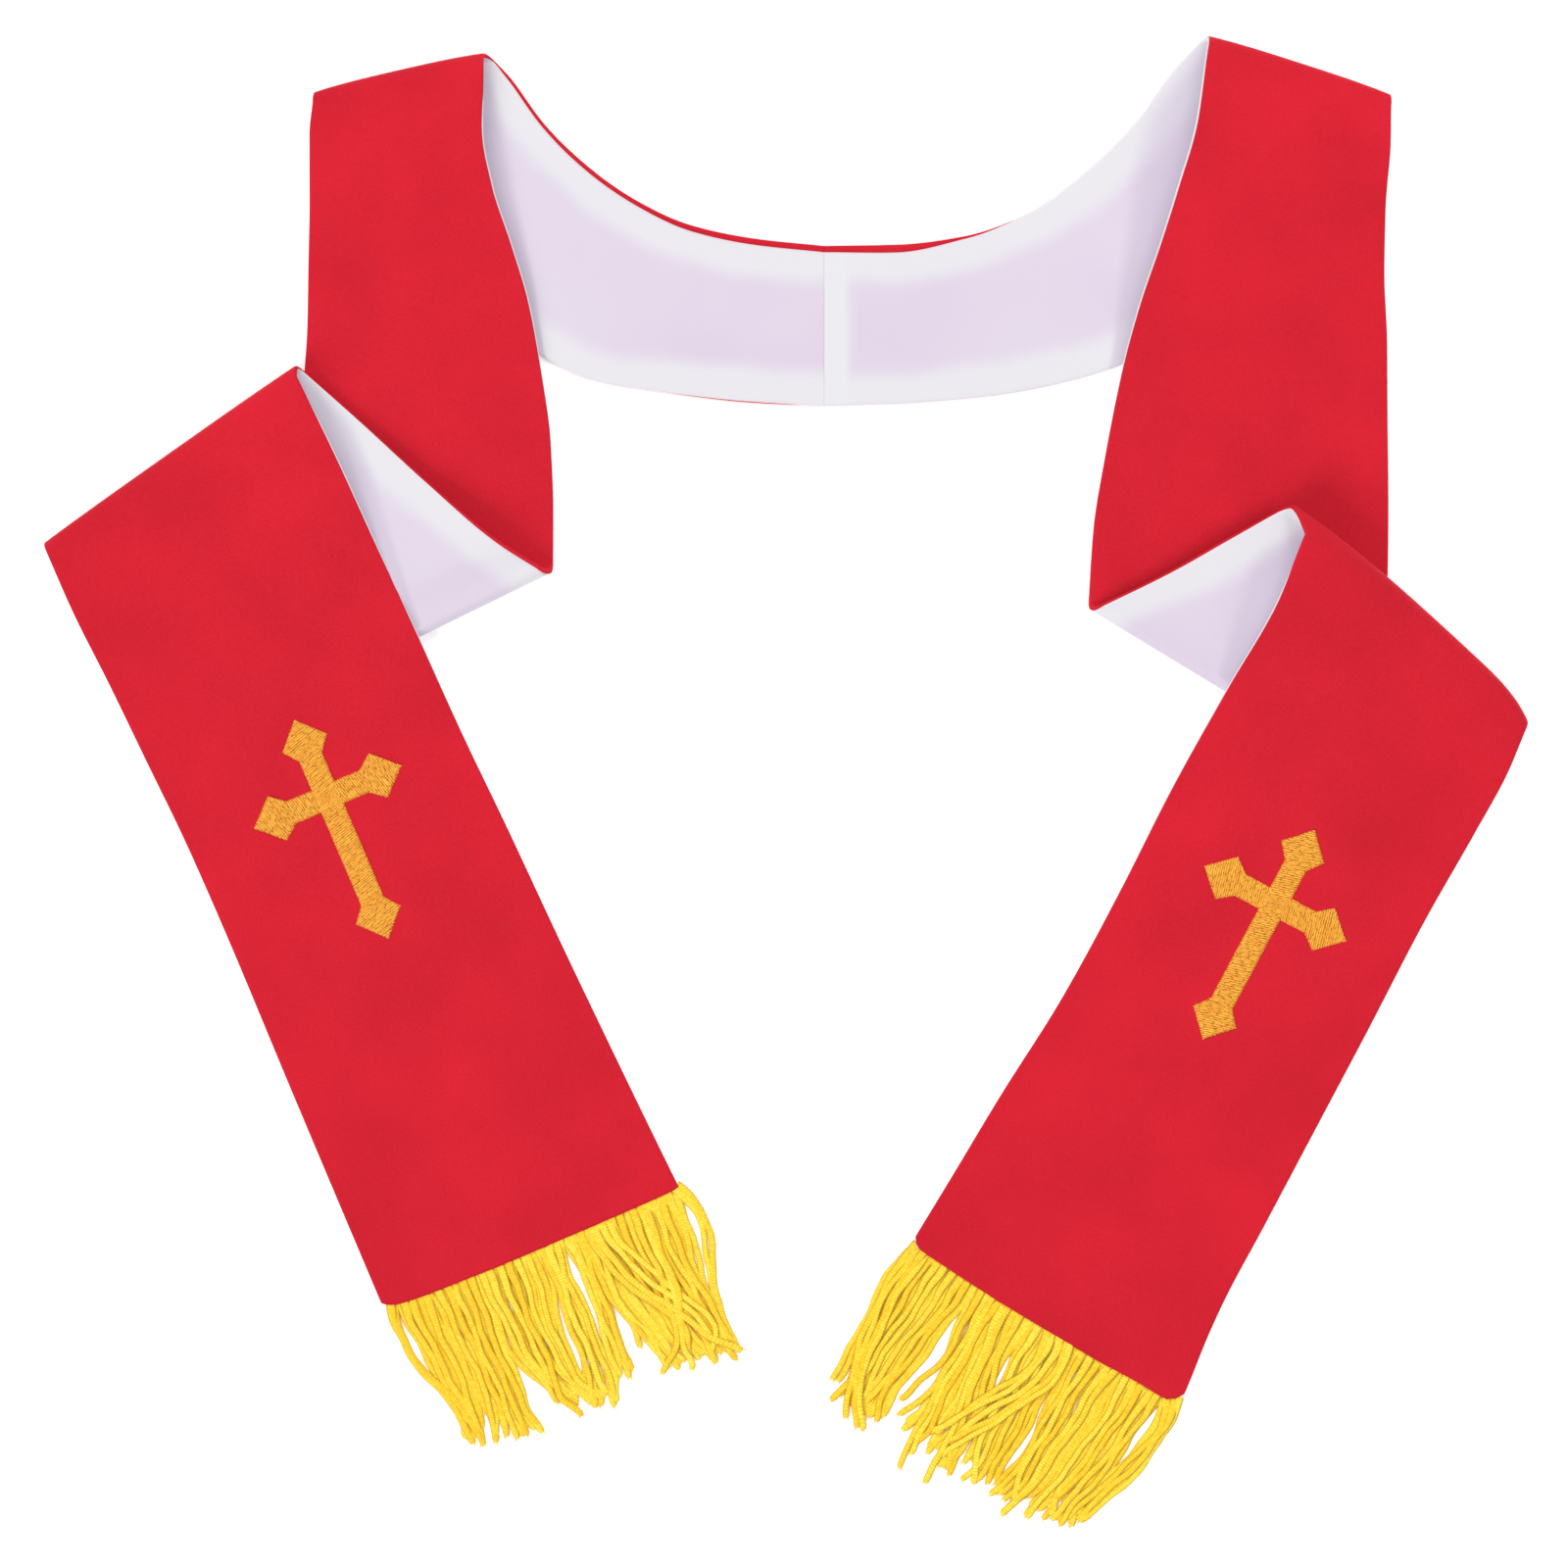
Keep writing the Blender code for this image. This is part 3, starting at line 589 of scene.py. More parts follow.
def half_profile(q, seam, is_red):
    """Inward distance and height along one half of a cloth's cross-section.

    At a distance e from the seam the cloth dips by SEAM_DEPTH exp(-(e / SEAM_WIDTH)^2), and
    less where the seam lies on the edge itself. The lining starts a little under the red,
    and a red edge that is turned over stands up in a sin^2 from the seam to the edge.
    """
    inward, height, out_inward, out_height = contour(q)
    past = (q - seam) if is_red else (seam - q)
    depth = SEAM_DEPTH * (SHALLOW + (1 - SHALLOW) * smooth(-seam - SHALLOW_WIDTH))
    rise = -depth * np.exp(-((past / SEAM_WIDTH) ** 2))
    rise = rise - TUCK_DEPTH * np.clip(-past / TUCK_WIDTH, 0, 1)
    if is_red:
        width = np.maximum(-seam, 1e-6)
        share = np.clip((q - seam) / width, 0, 1)
        pipe = PIPE_HEIGHT * smooth((width - PIPE_WIDTH) / PIPE_WIDTH)
        rise = rise + pipe * np.sin(math.pi * share) ** 2
    return inward + out_inward * rise, height + out_height * rise


def cloth_grid(grid, normals, rows, along, is_red):
    """One cloth of a side: the red one with both edges turned over, or the lining.

    Columns run from the seam at the inner edge over the panel to the seam at the outer edge.
    Returns the points, their place in the cloth's own measure, and each row's width.
    """
    width = np.linalg.norm(rows[:, 3:6] - rows[:, 0:3], axis=1)[:, None]
    way = 1 if is_red else -1
    flat_from = HALF * math.pi / 2 + (RED_EDGE if is_red else LINING_EDGE)
    to_middle = HALF * math.pi / 2 + width / 2 - HALF
    halves = []
    for red in (rows[:, 7:8], rows[:, 8:9]):
        seam = -round_edge(red)
        start = seam if is_red else seam + TUCK_WIDTH
        near = np.linspace(0, 1, EDGE_CELLS + 1)[None, :]
        far = np.linspace(0, 1, FLAT_CELLS // 2 + 1)[None, 1:]
        edge = start + (way * flat_from - start) * near
        flat = way * (flat_from + (to_middle - flat_from) * far)
        q = np.concatenate([edge, flat], axis=1)
        halves.append((q, *half_profile(q, seam, is_red)))
    (q_in, in_from, height_in), (q_out, out_from, height_out) = halves
    from_inner = np.concatenate([in_from, (width - out_from)[:, -2::-1]], axis=1)
    height = np.concatenate([height_in, height_out[:, -2::-1]], axis=1)
    measure = np.concatenate([way * q_in, 2 * to_middle - (way * q_out)[:, -2::-1]], axis=1)

    from_back = np.clip(along / BACK_SEAM_WIDTH, 0, 1)
    from_hem = np.clip((along[-1] - along) / HALF, 0, 1)
    back = BACK_SEAM_CLOSE + (1 - BACK_SEAM_CLOSE) * np.sqrt(1 - (1 - from_back) ** 2)
    hem = np.sqrt(1 - HEM_CLOSE * (1 - from_hem) ** 2)
    height = height * (back * hem)[:, None]
    share = from_inner / width
    points = across_at(grid, share)
    beyond = (np.clip(share, 0, 1) - share)[:, :, None]
    points = points - beyond * (rows[:, 3:6] - rows[:, 0:3])[:, None, :]
    points = points + across_at(normals, share) * height[:, :, None]
    place = np.stack([measure, np.broadcast_to(along[:, None], measure.shape)], axis=2)
    return points, place, width[:, 0]


def sheet_mesh(name, points, place, attributes, look, flip):
    """A mesh on a grid of points, with its own measure as UV map and named attributes."""
    count, width = points.shape[:2]
    index = np.arange(count * width).reshape(count, width)
    faces = np.stack([index[:-1, :-1], index[1:, :-1], index[1:, 1:], index[:-1, 1:]], axis=-1)
    faces = faces.reshape(-1, 4)[:, :: -1 if flip else 1].tolist()
    return finished_mesh(name, points.reshape(-1, 3), faces, place.reshape(-1, 2), attributes, look)


def finished_mesh(name, points, faces, place, attributes, look):
    """A piece at the origin from its points, lists of faces, measure and attributes."""
    mesh = bpy.data.meshes.new(name)
    mesh.from_pydata((points * MM).tolist(), [], faces)
    corners = np.empty(len(mesh.loops), dtype=np.int32)
    mesh.loops.foreach_get("vertex_index", corners)
    layer = mesh.uv_layers.new(name="cloth_measure")
    layer.data.foreach_set("uv", (place[corners] / MEASURE).astype(np.float32).ravel())
    for word, values in attributes.items():
        stored = mesh.attributes.new(word, "FLOAT", "POINT")
        stored.data.foreach_set("value", np.asarray(values, dtype=np.float32).ravel())
    mesh.shade_smooth()
    mesh.materials.append(look)
    piece = bpy.data.objects.new(name, mesh)
    bpy.context.scene.collection.objects.link(piece)
    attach(piece, "root")
    return piece


def give_thickness(piece):
    """Give a cloth its thickness, inward from the side that its faces look to."""
    wall = piece.modifiers.new("Thickness", "SOLIDIFY")
    wall.thickness = SHELL * MM
    wall.offset = -1.0
    wall.use_even_offset = False
    wall.use_quality_normals = True


def wavy(x, seed):
    """A slow uneven wave of x between about -1 and 1: three sines 33, 82 and 195 mm long."""
    return (
        0.35 * np.sin(x / 5.3 + seed)
        + 0.8 * np.sin(x / 13.1 + 2.3 * seed)
        + np.sin(x / 31.0 + 4.1 * seed)
    ) / 2.15


def turned_in(across, along, width, side):
    """How much cloth is turned in under the lining, which makes it look whiter there.

    It is TURNED_SHOWN beside both edges, falling to 0 over a soft uneven border, and on the
    right side it is 1 beside the centre-back seam.
    """
    total = width[:, None] - 2 * HALF + HALF * math.pi
    inner = TURNED_INNER + TURNED_WAVES[0] * wavy(along[:, None], 1.0 + side)
    outer = TURNED_OUTER + TURNED_WAVES[1] * wavy(along[:, None], 3.0 + side)
    within = np.maximum(inner - across, outer - (total - across))
    shown = TURNED_SHOWN * smooth(within / TURNED_SOFT + 0.5)
    if side > 0:
        seam = ALLOWANCE + 0.6 * wavy(across, 2.0)
        shown = np.maximum(shown, smooth((seam - along[:, None]) / ALLOWANCE_SOFT + 0.5))
    return shown


def from_shade(points, edge, wide):
    """How far the lining lies from the inner edge of the layer over it, in shade widths.

    The width narrows to SHADE_TIP of itself toward the edge's far end, and up to
    SHADE_START is added toward the edge's near end.
    """
    way = unit(edge[-1] - edge[0])
    across = np.array([-way[1], way[0]])
    length = (edge[-1] - edge[0]) @ way
    off = points[:, :, :2] - edge[0]
    t = off @ way / length
    line = np.interp(off @ way, (edge - edge[0]) @ way, (edge - edge[0]) @ across)
    narrowed = SHADE_TIP + (1 - SHADE_TIP) * smooth(1.3 * (1.05 - t))
    far = np.abs(off @ across - line) / (wide * narrowed)
    return np.minimum(far + SHADE_START * (1 - smooth(t / 0.35 + 0.25)), NO_SHADE)


def tubes(middles, sideways, upward, half_width, half_height, sides):
    """Rings round many paths at once.

    The ring at a point is its middle + cos a half_width sideways + sin a half_height upward.
    """
    a = np.linspace(0, 2 * math.pi, sides, endpoint=False)
    wide = half_width[..., None, None] * np.cos(a)[:, None]
    high = half_height[..., None, None] * np.sin(a)[:, None]
    return middles[..., None, :] + wide * sideways[..., None, :] + high * upward[..., None, :]


def tube_faces(count, rings, sides, first):
    """Faces of that many tubes, closed at both ends."""
    index = first + np.arange(count * rings * sides).reshape(count, rings, sides)
    ahead = np.roll(index, -1, axis=2)
    walls = np.stack([index[:, :-1], ahead[:, :-1], ahead[:, 1:], index[:, 1:]], axis=-1)
    ends = index[:, 0, ::-1].tolist() + index[:, -1, :].tolist()
    return walls.reshape(-1, 4).tolist() + ends


def strand_ways(locks, hem_bow, rng):
    """Each strand's place along the hem, distance from it and height, and its tip's distance.

    A strand's place along the hem is the cubic through its root and its places NEAR and FAR
    out and at its tip, with a hook at its tip and small slow sways, each its size times
    sin(2 pi d / wave + phase) at the distance d. Its height eases from the hem's to its
    layer's, and down by TIP_DROP at its tip.
    """
    columns = []
    for lock in locks:
        count = lock.strands
        share = (np.arange(count) + 0.5) / count
        if count > 1:
            share = np.clip(share + rng.uniform(-JITTER, JITTER, count) / count, 0, 1)
            share = (share - 0.5 / count) / (1 - 1 / count)
        low, high = np.array(lock[2:]).reshape(5, 2).T[:, :, None]
        column = low + (high - low) * share
        column[3] += rng.normal(0, TIP_SPREAD[0] + TIP_SPREAD[1] * lock.layer, count)
        column[4] += rng.normal(0, REACH_SPREAD, count)
        columns.append(np.vstack([column, np.full(count, lock.layer)]))
    root, near, far, tip, reach, layer = np.concatenate(columns, axis=1)
    start = np.interp(root, *np.array(hem_bow).T) - ROOT_DEPTH
    d = start[:, None] + (reach - start)[:, None] * np.linspace(0, 1, STRAND_ROWS)
    stops = (start, np.full_like(start, NEAR), np.full_like(start, FAR), reach)
    along = np.zeros_like(d)
    for place, stop in zip((root, near, far, tip), stops):
        weight = np.ones_like(d)
        for other in stops:
            if other is not stop:
                weight = weight * (d - other[:, None]) / (stop - other)[:, None]
        along = along + weight * place[:, None]
    count = len(root)
    left = d - reach[:, None]
    hook = rng.normal(0, HOOK_SPREAD[0] + HOOK_SPREAD[1] * layer)[:, None]
    along = along + hook * smooth((left + HOOK_LENGTH) / HOOK_LENGTH) ** 2
    for size, wave in SWAYS:
        phase = (0.21 * root + rng.normal(0, 1.0, count))[:, None]
        stretch = rng.uniform(0.92, 1.08, count)[:, None]
        along = along + size * smooth(d / 14.0) * np.sin(2 * math.pi * d / (wave * stretch) + phase)
    heights = np.array(LAYER_HEIGHTS)[layer.astype(int)]
    heights = heights + rng.uniform(-LAYER_UNEVEN, LAYER_UNEVEN, count)
    root_height = REST + rng.uniform(-0.35, 0.1, count)
    settled = np.maximum(LAYER_HEIGHTS[0], heights - TIP_DROP)
    z = root_height[:, None] + (heights - root_height)[:, None] * smooth((d - 0.5) / SETTLE)
    z = z + (settled - heights)[:, None] * smooth((left + SETTLE) / SETTLE)
    z = z + 0.10 * (layer[:, None] > 0) * np.sin(d / 4.0 + 6.0 * root[:, None])
    return along, d, z, reach


def frays(ends, ahead, aside, rng):
    """Loose threads from the strands' ends.

    At t from 0 to 1 a thread is t times its length ahead and, times its spread,
    0.6 + 0.35 length t^1.6 aside. It sinks a little and gets thinner.
    """
    ends, ahead, aside = (np.repeat(part, FRAY_THREADS, axis=0) for part in (ends, ahead, aside))
    loose = len(ends)
    t = np.linspace(0, 1, FRAY_ROWS)[None, :, None]
    length = rng.uniform(*FRAY_LENGTHS, loose)[:, None, None]
    spread = rng.uniform(-FRAY_SPREAD, FRAY_SPREAD, loose)[:, None, None]
    threads = (
        ends[:, None, :]
        + ahead[:, None, :] * t * length
        + aside[:, None, :] * (0.6 * spread + spread * length * 0.35 * t**1.6)
    )
    threads[:, :, 2] -= 0.25 * t[:, :, 0] * rng.uniform(0, 1, loose)[:, None]
    thin = FRAY_HALF * (1 - 0.75 * t[:, :, 0])
    return tubes(threads, aside[:, None, :], UP, thin, thin, FRAY_SIDES)


def fringe_piece(name, rows, locks, bow, side, look, seed):
    """The fringe: every strand a chain of loops, flat on the surface, with a frayed end."""
    rng = np.random.default_rng(seed)
    along, d, z, reach = strand_ways(locks, bow, rng)
    count = len(along)
    bowed = np.interp(along, *np.array(bow).T)
    corner = rows[-1, 0:2]
    hem = unit(rows[-1, 3:5] - corner)
    out = np.array([hem[1], -hem[0]]) * side
    plan = corner + along[..., None] * hem + d[..., None] * out
    middle = np.concatenate([plan, z[..., None]], axis=2)
    forward, sideways = headings(middle)

    loop = np.where(np.arange(STRAND_ROWS) % 2 == 0, 1.0, LOOP_WAIST)[None, :]
    taper = TIP_TAPER + (1 - TIP_TAPER) * smooth((reach[:, None] - d) / 1.1)
    wider = 1 + ROOT_WIDER * smooth((NEAR - d) / 16.0)
    fullness = rng.uniform(0.88, 1.05, count)[:, None] * wider
    rooted = ROOT_FLAT + (1 - ROOT_FLAT) * smooth((d - bowed) / 2.5)
    half_width = STRAND_WIDTH / 2 * loop * taper * fullness
    half_height = STRAND_HEIGHT / 2 * (0.25 + 0.75 * loop) * taper * rooted
    rings = tubes(middle, sideways, UP, half_width, half_height, STRAND_SIDES)
    loose = frays(middle[:, -2], forward[:, -2], sideways[:, -2], rng)
    in_rings, in_loose = rings[..., 0].size, loose[..., 0].size

    points = np.concatenate([rings.reshape(-1, 3), loose.reshape(-1, 3)])
    faces = tube_faces(count, STRAND_ROWS, STRAND_SIDES, 0)
    faces += tube_faces(len(loose), FRAY_ROWS, FRAY_SIDES, in_rings)
    around = np.broadcast_to(np.arange(STRAND_SIDES) * 1.1, rings.shape[:3])
    place = np.stack([around, np.broadcast_to(d[..., None], rings.shape[:3])], axis=3)
    place = np.concatenate([place.reshape(-1, 2), np.zeros((in_loose, 2))])
    tone = rng.uniform(0, 1, count)
    tones = np.concatenate([np.repeat(tone, part // count) for part in (in_rings, in_loose)])
    # Painted shade: darker between the chain's loops, on each strand's sides and underside, and a
    # little on the loose threads
    waist = (np.arange(STRAND_ROWS) % 2)[None, :, None]
    topward = np.sin(np.linspace(0, 2 * math.pi, STRAND_SIDES, endpoint=False))
    edges = 0.95 * (1 - np.maximum(topward, 0)) ** 2.5
    painted_groove_shade = np.broadcast_to(np.maximum(0.75 * waist, edges), rings.shape[:3])
    painted_groove_shades = np.concatenate([painted_groove_shade.ravel(), np.full(in_loose, 0.3)])
    attributes = {"thread_tone": tones, "painted_groove_shade": painted_groove_shades}
    return finished_mesh(name, points, faces, place, attributes, look)


def limb_outlines():
    """The post and the two arms of the cross, as (across, up) from where they meet."""

    def limb(reach, back):
        neck, corner = reach - LOBE_NECK, reach - LOBE_CORNER
        half = np.array([(CROSS_HALF, back), (CROSS_HALF, neck), (LOBE_HALF, corner)])
        return np.concatenate([half * [-1, 1], [(0.0, reach)], half[::-1]])

    head = limb(CROSS_HEAD, 0.0)
    foot = limb(CROSS_FOOT, 0.0) * [-1, -1]
    arm = limb(CROSS_ARM, 0.0)
    right = arm[:, ::-1] * [1, -1]
    left = arm[:, ::-1] * [-1, 1]
    return [np.concatenate([head[:-1], foot[:-1]]), left, right]


def runs_across(outline, slant):
    """The start and end of every thread that fills the outline at that slant.

    Lines a pitch apart are cut by every side of the outline, and the cuts along a line are
    taken in pairs.
    """
    way = np.array([math.cos(slant), math.sin(slant)])
    step = np.array([-way[1], way[0]])
    a, b = outline, np.roll(outline, -1, axis=0)
    low, high = (outline @ step).min(), (outline @ step).max()
    at = np.arange(low + THREAD_PITCH / 2, high, THREAD_PITCH)[:, None]
    sa, sb = (a @ step)[None, :], (b @ step)[None, :]
    crosses = (sa <= at) != (sb <= at)
    t = (at - sa) / np.where(crosses, sb - sa, 1.0)
    cut = np.where(crosses, (a @ way) + t * ((b - a) @ way), np.inf)
    cut = np.sort(cut, axis=1)[:, : len(outline) // 2 * 2]
    pairs = cut.reshape(len(at), -1, 2).transpose(1, 0, 2)
    real = np.isfinite(pairs[..., 1])
    starts, ends = pairs[real].T[:, :, None]
    places = np.broadcast_to(at[:, 0], real.shape)[real][:, None]
    return starts * way + places * step, ends * way + places * step


def stitches(first, last, rng):
    """Runs of thread broken into stitches of uneven length.

    Returns for each stitch its run's number, where along the run it starts and ends, which
    way the run goes and how long the run is.
    """
    length = np.linalg.norm(last - first, axis=1)
    most = int(length.max() / STITCH_LENGTH) + 2
    offset = rng.uniform(-0.5, 0.5, len(first))[:, None]
    cuts = (np.arange(most)[None, :] + offset) * STITCH_LENGTH
    cuts = cuts + rng.uniform(-STITCH_UNEVEN, STITCH_UNEVEN, cuts.shape)
    cuts = np.clip(cuts, 0, length[:, None])
    cuts = np.concatenate([np.zeros((len(first), 1)), cuts, length[:, None]], axis=1)
    low, high = cuts[:, :-1], cuts[:, 1:]
    run, _ = real = np.nonzero(high - low > STITCH_SHORTEST)
    way = (last - first) / np.maximum(length, 1e-9)[:, None]
    return run, low[real], high[real], way[run], length[run]


def height_fit(grid, centre, reach=58.0, degree=5):
    """The red cloth's height round a place, as a polynomial in the distance from it."""
    flat = grid.reshape(-1, 3)
    near = np.abs(flat[:, :2] - centre).max(axis=1) < reach
    x, y = ((flat[near, :2] - centre) / reach).T
    powers = [(i, j) for i in range(degree + 1) for j in range(degree + 1 - i)]
    matrix = np.stack([x**i * y**j for i, j in powers], axis=1)
    weights = np.linalg.lstsq(matrix, flat[near, 2], rcond=None)[0]

    def height(points):
        u, v = (points[..., 0] - centre[0]) / reach, (points[..., 1] - centre[1]) / reach
        return sum(w * u**i * v**j for w, (i, j) in zip(weights, powers))

    return height


def cross_piece(name, end_grid, badge, look, seed):
    """The cross in slanted satin stitch, its post sewn over its bar.

    Over the cloth a thread's middle is at SATIN_RISE times the root of its distance in from
    the limb's edge over SATIN_EDGE, at most 1, less PAIR_DIP for every second thread, and
    each stitch dips at both of its ends.
    """
    rng = np.random.default_rng(seed)
    centre = np.array([badge.x - ORIGIN_X, badge.y - ORIGIN_Y])
    up = unit(np.array([badge.up_x, badge.up_y]))
    right = np.array([up[1], -up[0]])
    height = height_fit(end_grid, centre)
    post_way = math.radians(THREAD_SLANT)
    arm_way = post_way + math.pi / 2
    all_rings, tones = [], []
    for number, (outline, way) in enumerate(zip(limb_outlines(), (post_way, arm_way, arm_way))):
        first, last = runs_across(outline, way)
        run, low, high, along, length = stitches(first, last, rng)
        t = np.linspace(0, 1, STITCH_ROWS)[None, :]
        at = low[:, None] + (high - low)[:, None] * t
        aside = np.stack([-along[:, 1], along[:, 0]], axis=1)[:, None, :]
        flat = first[run][:, None, :] + along[:, None, :] * at[..., None]
        flat = flat + 0.05 * rng.normal(size=(len(run), 1, 1)) * aside
        plan = centre + flat[..., :1] * right + flat[..., 1:] * up
        edge = np.minimum(at, length[:, None] - at)
        rise = SATIN_RISE * np.sqrt(np.clip(edge / SATIN_EDGE, 0.02, 1))
        if number == 0:
            rise = rise + POST_RISE * smooth((POST_CROSSING - np.abs(flat[..., 1])) / POST_EASE)
        dip = STITCH_DIP * (2 * t - 1) ** 4 + 0.04 * rng.uniform(0, 1, (len(run), 1))
        place = first[run] @ np.array([-math.sin(way), math.cos(way)])
        second = np.round((place - place.min()) / THREAD_PITCH) % 2
        z = height(plan) + HALF + rise - dip - PAIR_DIP * second[:, None]
        middle = np.concatenate([plan, z[..., None]], axis=2)
        forward, sideways = headings(middle)
        full = (1 - 0.25 * (2 * t - 1) ** 6) / 2
        upward = np.cross(sideways, forward)
        all_rings.append(
            tubes(middle, sideways, upward, THREAD_WIDTH * full, THREAD_HEIGHT * full, STITCH_SIDES)
        )
        # Painted shade: every second thread, which lies lower, gets a darker tone; the rest of the
        # tone differs at random
        tone = rng.uniform(0, 0.45, len(run)) + 0.55 * (1 - second)
        tones.append(np.repeat(tone, STITCH_ROWS * STITCH_SIDES))
    rings = np.concatenate(all_rings)
    faces = tube_faces(len(rings), STITCH_ROWS, STITCH_SIDES, 0)
    points = rings.reshape(-1, 3)
    attributes = {"thread_tone": np.concatenate(tones)}
    return finished_mesh(name, points, faces, points[:, :2], attributes, look)


class Look:
    """A material in the making, with helpers that add nodes to it and join them."""

    def __init__(self, name, roughness, sheen, sheen_roughness, specular):
        """Start it with the shader's constant values."""
        self.material = bpy.data.materials.new(name)
        self.material.use_nodes = True
        self.nodes = self.material.node_tree.nodes
        self.links = self.material.node_tree.links
        self.shader = self.nodes["Principled BSDF"]
        self.shader.inputs["Roughness"].default_value = roughness
        self.shader.inputs["Sheen Weight"].default_value = sheen
        self.shader.inputs["Sheen Roughness"].default_value = sheen_roughness
        self.shader.inputs["Specular IOR Level"].default_value = specular

    def join(self, node, sockets):
        """Give each of the node's sockets its value, or a link from another's output."""
        for socket, value in sockets.items():
            if isinstance(value, bpy.types.NodeSocket):
                self.links.new(value, node.inputs[socket])
            else:
                colour = isinstance(value, tuple)
                node.inputs[socket].default_value = (*value, 1.0) if colour else value

    def add(self, kind, sockets, **settings):
        """A new node with its settings and sockets."""
        node = self.nodes.new(kind)
        for word, value in settings.items():
            setattr(node, word, value)
        self.join(node, sockets)
        return node

    def attribute(self, name):
        """A value that is stored at the piece's points."""
        return self.add("ShaderNodeAttribute", {}, attribute_name=name).outputs["Fac"]

    def noise(self, scale, detail):
        """Noise in the object's coordinates."""
        place = self.add("ShaderNodeTexCoord", {}).outputs["Object"]
        sockets = {"Vector": place, "Scale": scale, "Detail": detail}
        return self.add("ShaderNodeTexNoise", sockets).outputs["Fac"]

    def mixed(self, factor, low, high):
        """A colour mixed by the factor between two colours."""
        sockets = {"Factor": factor, 6: low, 7: high}
        return self.add("ShaderNodeMix", sockets, data_type="RGBA").outputs[2]

    def maths(self, operation, *values):
        """A sum, product or sine of values."""
        return self.add("ShaderNodeMath", dict(enumerate(values)), operation=operation).outputs[0]

    def weave(self, across_step, along_step, lean):
        """A woven surface, from the piece's own measure.

        It is the sine of the measure across and lean times that along, at across_step to a
        wave, and half the sine of the measure along, at along_step to a wave.
        """
        measure = self.add("ShaderNodeUVMap", {}, uv_map="cloth_measure").outputs["UV"]
        across, along, _ = self.add("ShaderNodeSeparateXYZ", {0: measure}).outputs
        turns = 2 * MEASURE * math.pi
        leaning = self.maths("MULTIPLY_ADD", along, lean, across)
        first = self.maths("SINE", self.maths("MULTIPLY", leaning, turns / across_step))
        second = self.maths("SINE", self.maths("MULTIPLY", along, turns / along_step))
        return self.maths("ADD", first, self.maths("MULTIPLY", second, 0.5))

    def glow(self, colour, strength):
        """Let the surface give off a little light."""
        self.join(self.shader, {"Emission Color": colour, "Emission Strength": strength})

    def finished(self, colour, height, strength, distance):
        """The material, with its colour and the height of its finest relief."""
        sockets = {"Strength": strength, "Distance": distance, "Height": height}
        normal = self.add("ShaderNodeBump", sockets).outputs["Normal"]
        self.join(self.shader, {"Base Color": colour, "Normal": normal})
        return self.material


def red_twill():
    """Red polyester twill: fine slanting wales, finely mottled dye, broad darker and lighter
    patches of painted shade and light standing in for soft waves in the cloth, and a soft sheen.
    """
    look = Look("red_twill", roughness=0.75, sheen=0.04, sheen_roughness=0.4, specular=0.12)
    fine = look.noise(scale=900.0, detail=3.0)
    # Painted shade and light: broad random patches mix a darker and a lighter red, standing in for
    # the shading of soft waves in the cloth
    broad = look.noise(scale=20.0, detail=3.0)
    darker = look.mixed(fine, (0.43, 0.0062, 0.017), (0.54, 0.0105, 0.0245))
    lighter = look.mixed(fine, (0.65, 0.0106, 0.0262), (0.78, 0.0165, 0.037))
    wales = look.weave(across_step=0.62, along_step=0.5, lean=0.7)
    height = look.maths("ADD", wales, look.maths("MULTIPLY", fine, 1.6))
    colour = look.mixed(broad, darker, lighter)
    return look.finished(colour, height, strength=0.25, distance=0.00008)


def white_lining():
    """White lining taffeta: lilac where the red shows through, whiter over turned-in cloth."""
    look = Look(
        "white_lining_cloth", roughness=0.55, sheen=0.10, sheen_roughness=0.4, specular=0.35
    )
    cloudy = look.noise(scale=13.0, detail=2.0)
    through = look.mixed(cloudy, (0.54, 0.435, 0.57), (0.61, 0.565, 0.635))
    lit = look.mixed(look.attribute("turned_in"), through, (0.635, 0.632, 0.65))
    far = look.attribute("from_shade")
    shade = look.add(
        "ShaderNodeMapRange",
        {"Value": far, "From Min": 0.62, "From Max": 1.2, "To Min": 0.55, "To Max": 0.0},
        interpolation_type="SMOOTHSTEP",
    ).outputs[0]
    colour = look.mixed(shade, lit, (0.45, 0.38, 0.49))
    # Painted light: a faint lilac-white glow that lightens the lining's shadows
    look.glow((0.93, 0.86, 1.0), PAINTED_LINING_GLOW)
    weave = look.weave(across_step=0.4, along_step=0.4, lean=0.0)
    return look.finished(colour, weave, strength=0.12, distance=0.00005)


def gold_thread():
    """Gold-yellow rayon thread, each stitch a little lighter or darker at random, and every second
    thread darker still as painted shade.
    """
    look = Look(
        "gold_embroidery_thread", roughness=0.42, sheen=0.1, sheen_roughness=0.3, specular=0.5
    )
    colour = look.mixed(look.attribute("thread_tone"), (0.74, 0.220, 0.008), (1.0, 0.55, 0.048))
    fibres = look.noise(scale=2500.0, detail=2.0)
    return look.finished(colour, fibres, strength=0.25, distance=0.00008)


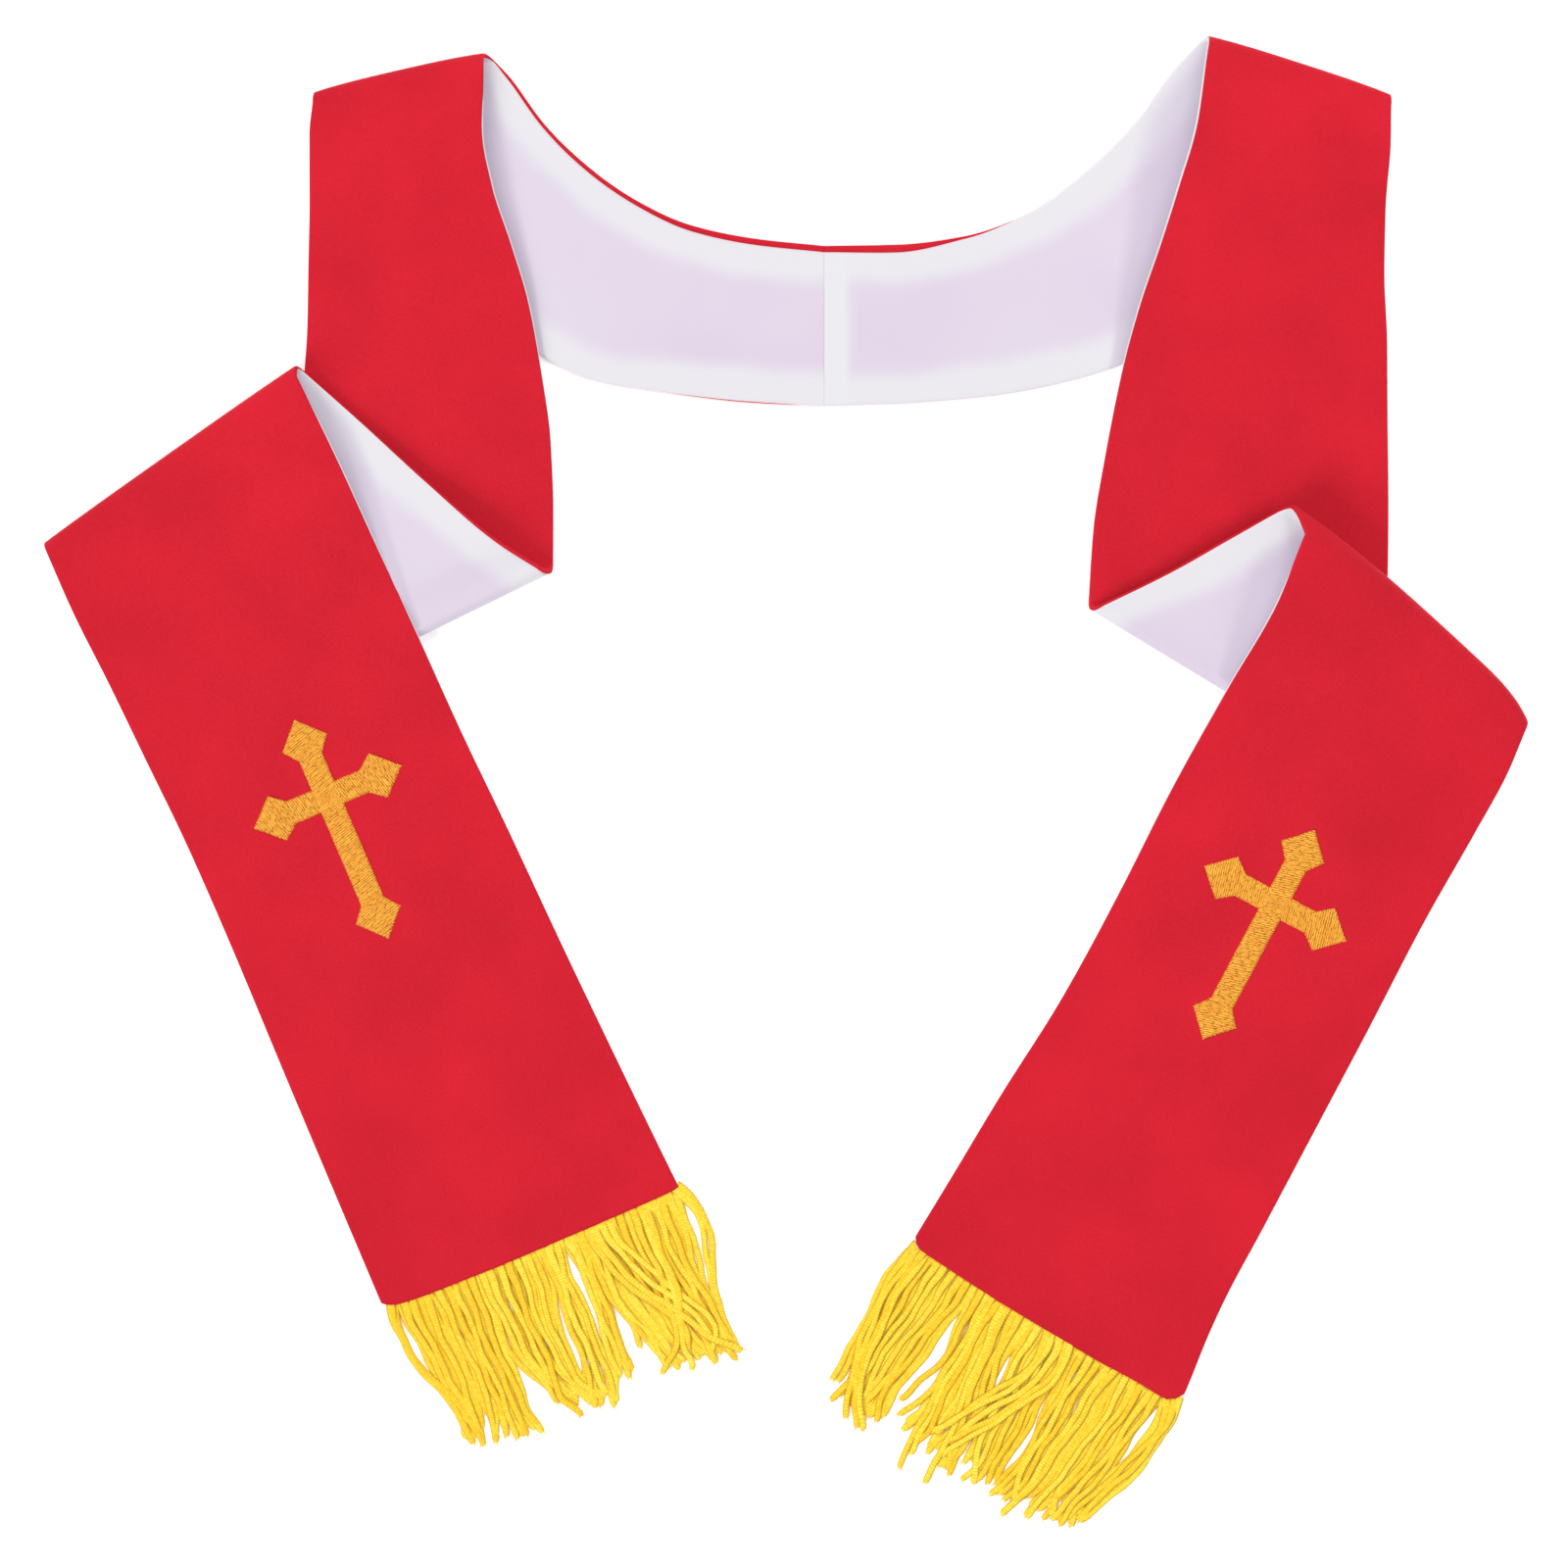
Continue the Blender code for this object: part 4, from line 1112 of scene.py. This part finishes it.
def yellow_chain():
    """Yellow chainette: glossy rayon loops, uneven in tone, with painted shade between the loops
    and along each strand's sides and underside.
    """
    look = Look("yellow_chainette", roughness=0.45, sheen=0.15, sheen_roughness=0.3, specular=0.4)
    tone = look.attribute("thread_tone")
    grain = look.noise(scale=800.0, detail=2.0)
    sockets = {"Value": grain, "From Min": 0.36, "From Max": 0.64}
    knit = look.add("ShaderNodeMapRange", sockets).outputs[0]
    dull = look.mixed(tone, (0.94, 0.55, 0.007), (0.98, 0.75, 0.026))
    bright = look.mixed(tone, (1.0, 0.75, 0.026), (1.0, 0.95, 0.105))
    # Painted shade: mix toward deep orange where the chain's waists and the strands' sides are
    # marked
    painted_shade_share = look.maths("MULTIPLY", look.attribute("painted_groove_shade"), 0.72)
    colour = look.mixed(painted_shade_share, look.mixed(knit, dull, bright), (0.84, 0.42, 0.004))
    fibres = look.noise(scale=1500.0, detail=3.0)
    return look.finished(colour, fibres, strength=0.35, distance=0.0002)


def pale_floor():
    """The plain pale surface that the stole lies on."""
    look = Look("pale_floor", roughness=0.9, sheen=0.0, sheen_roughness=0.5, specular=0.1)
    look.join(look.shader, {"Base Color": (0.95, 0.95, 0.95)})
    look.glow((1.0, 1.0, 1.0), FLOOR_GLOW)
    return look.material


def side_of_stole(stole_side, looks):
    """One side: red cloth, lining, cross and fringe."""
    word, side, sections, ridges, shades, bow, locks, badge = stole_side
    rows, stretches, along = closer_rows(*panel_rows(sections))
    grid = middle_surface(rows, stretches, along, ridges, bow, side)
    normals = red_side(grid, side)
    red, red_place, width = cloth_grid(grid, normals, rows, along, True)
    face = sheet_mesh(f"red_cloth_{word}", red, red_place, {}, looks["red"], side < 0)
    give_thickness(face)
    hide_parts(f"face_{word}")
    white, white_place, _ = cloth_grid(grid, normals, rows, along, False)
    shown = turned_in(white_place[:, :, 0], along, width, side)
    shade = np.full(white.shape[:2], NO_SHADE)
    for stretch, over, low_end, wide in shades:
        edge = rows[(stretches == over) & (rows[:, 1] > low_end), :2]
        inside = (stretches == stretch)[:, None]
        shade = np.where(inside, from_shade(white, edge, wide), shade)
    stored = {"turned_in": shown, "from_shade": shade}
    lining = sheet_mesh(
        f"white_lining_{word}", white, white_place, stored, looks["white"], side > 0
    )
    give_thickness(lining)
    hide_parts(f"lining_{word}")

    cross = cross_piece(
        f"embroidered_cross_{word}", grid[stretches == END], badge, looks["gold"], CROSS_SEED + side
    )
    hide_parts(f"cross_{word}")
    fringe = fringe_piece(
        f"chain_fringe_{word}", rows, locks, bow, side, looks["yellow"], FRINGE_SEED + side
    )
    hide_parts(f"fringe_{word}")


def studio():
    """Pale floor, soft light mostly from the near left, and the camera straight above."""
    scene = bpy.context.scene
    bpy.ops.mesh.primitive_plane_add(size=FLOOR_SIZE)
    floor = bpy.context.object
    floor.name = "floor"
    floor.data.materials.append(pale_floor())
    for name, place, size, power in LAMPS:
        data = bpy.data.lights.new(name, "AREA")
        data.energy, data.size = power, size
        lamp = bpy.data.objects.new(name, data)
        lamp.location = place
        lamp.rotation_mode = "QUATERNION"
        lamp.rotation_quaternion = (-Vector(place)).to_track_quat("-Z", "Y")
        scene.collection.objects.link(lamp)
    scene.world = bpy.data.worlds.new("studio")
    scene.world.use_nodes = True
    sky = scene.world.node_tree.nodes["Background"]
    sky.inputs["Color"].default_value = (1.0, 1.0, 1.0, 1.0)
    sky.inputs["Strength"].default_value = SKY
    scene.view_settings.view_transform = "Standard"

    data = bpy.data.cameras.new("photograph")
    data.lens, data.sensor_width = LENS, SENSOR
    camera = bpy.data.objects.new("photograph", data)
    camera.location = (AIM[0], AIM[1], AIM[2] + FIELD * LENS / SENSOR)
    scene.collection.objects.link(camera)
    scene.camera = camera


looks = {
    "red": red_twill(),
    "white": white_lining(),
    "gold": gold_thread(),
    "yellow": yellow_chain(),
}
side_of_stole(LEFT, looks)
side_of_stole(RIGHT, looks)
studio()
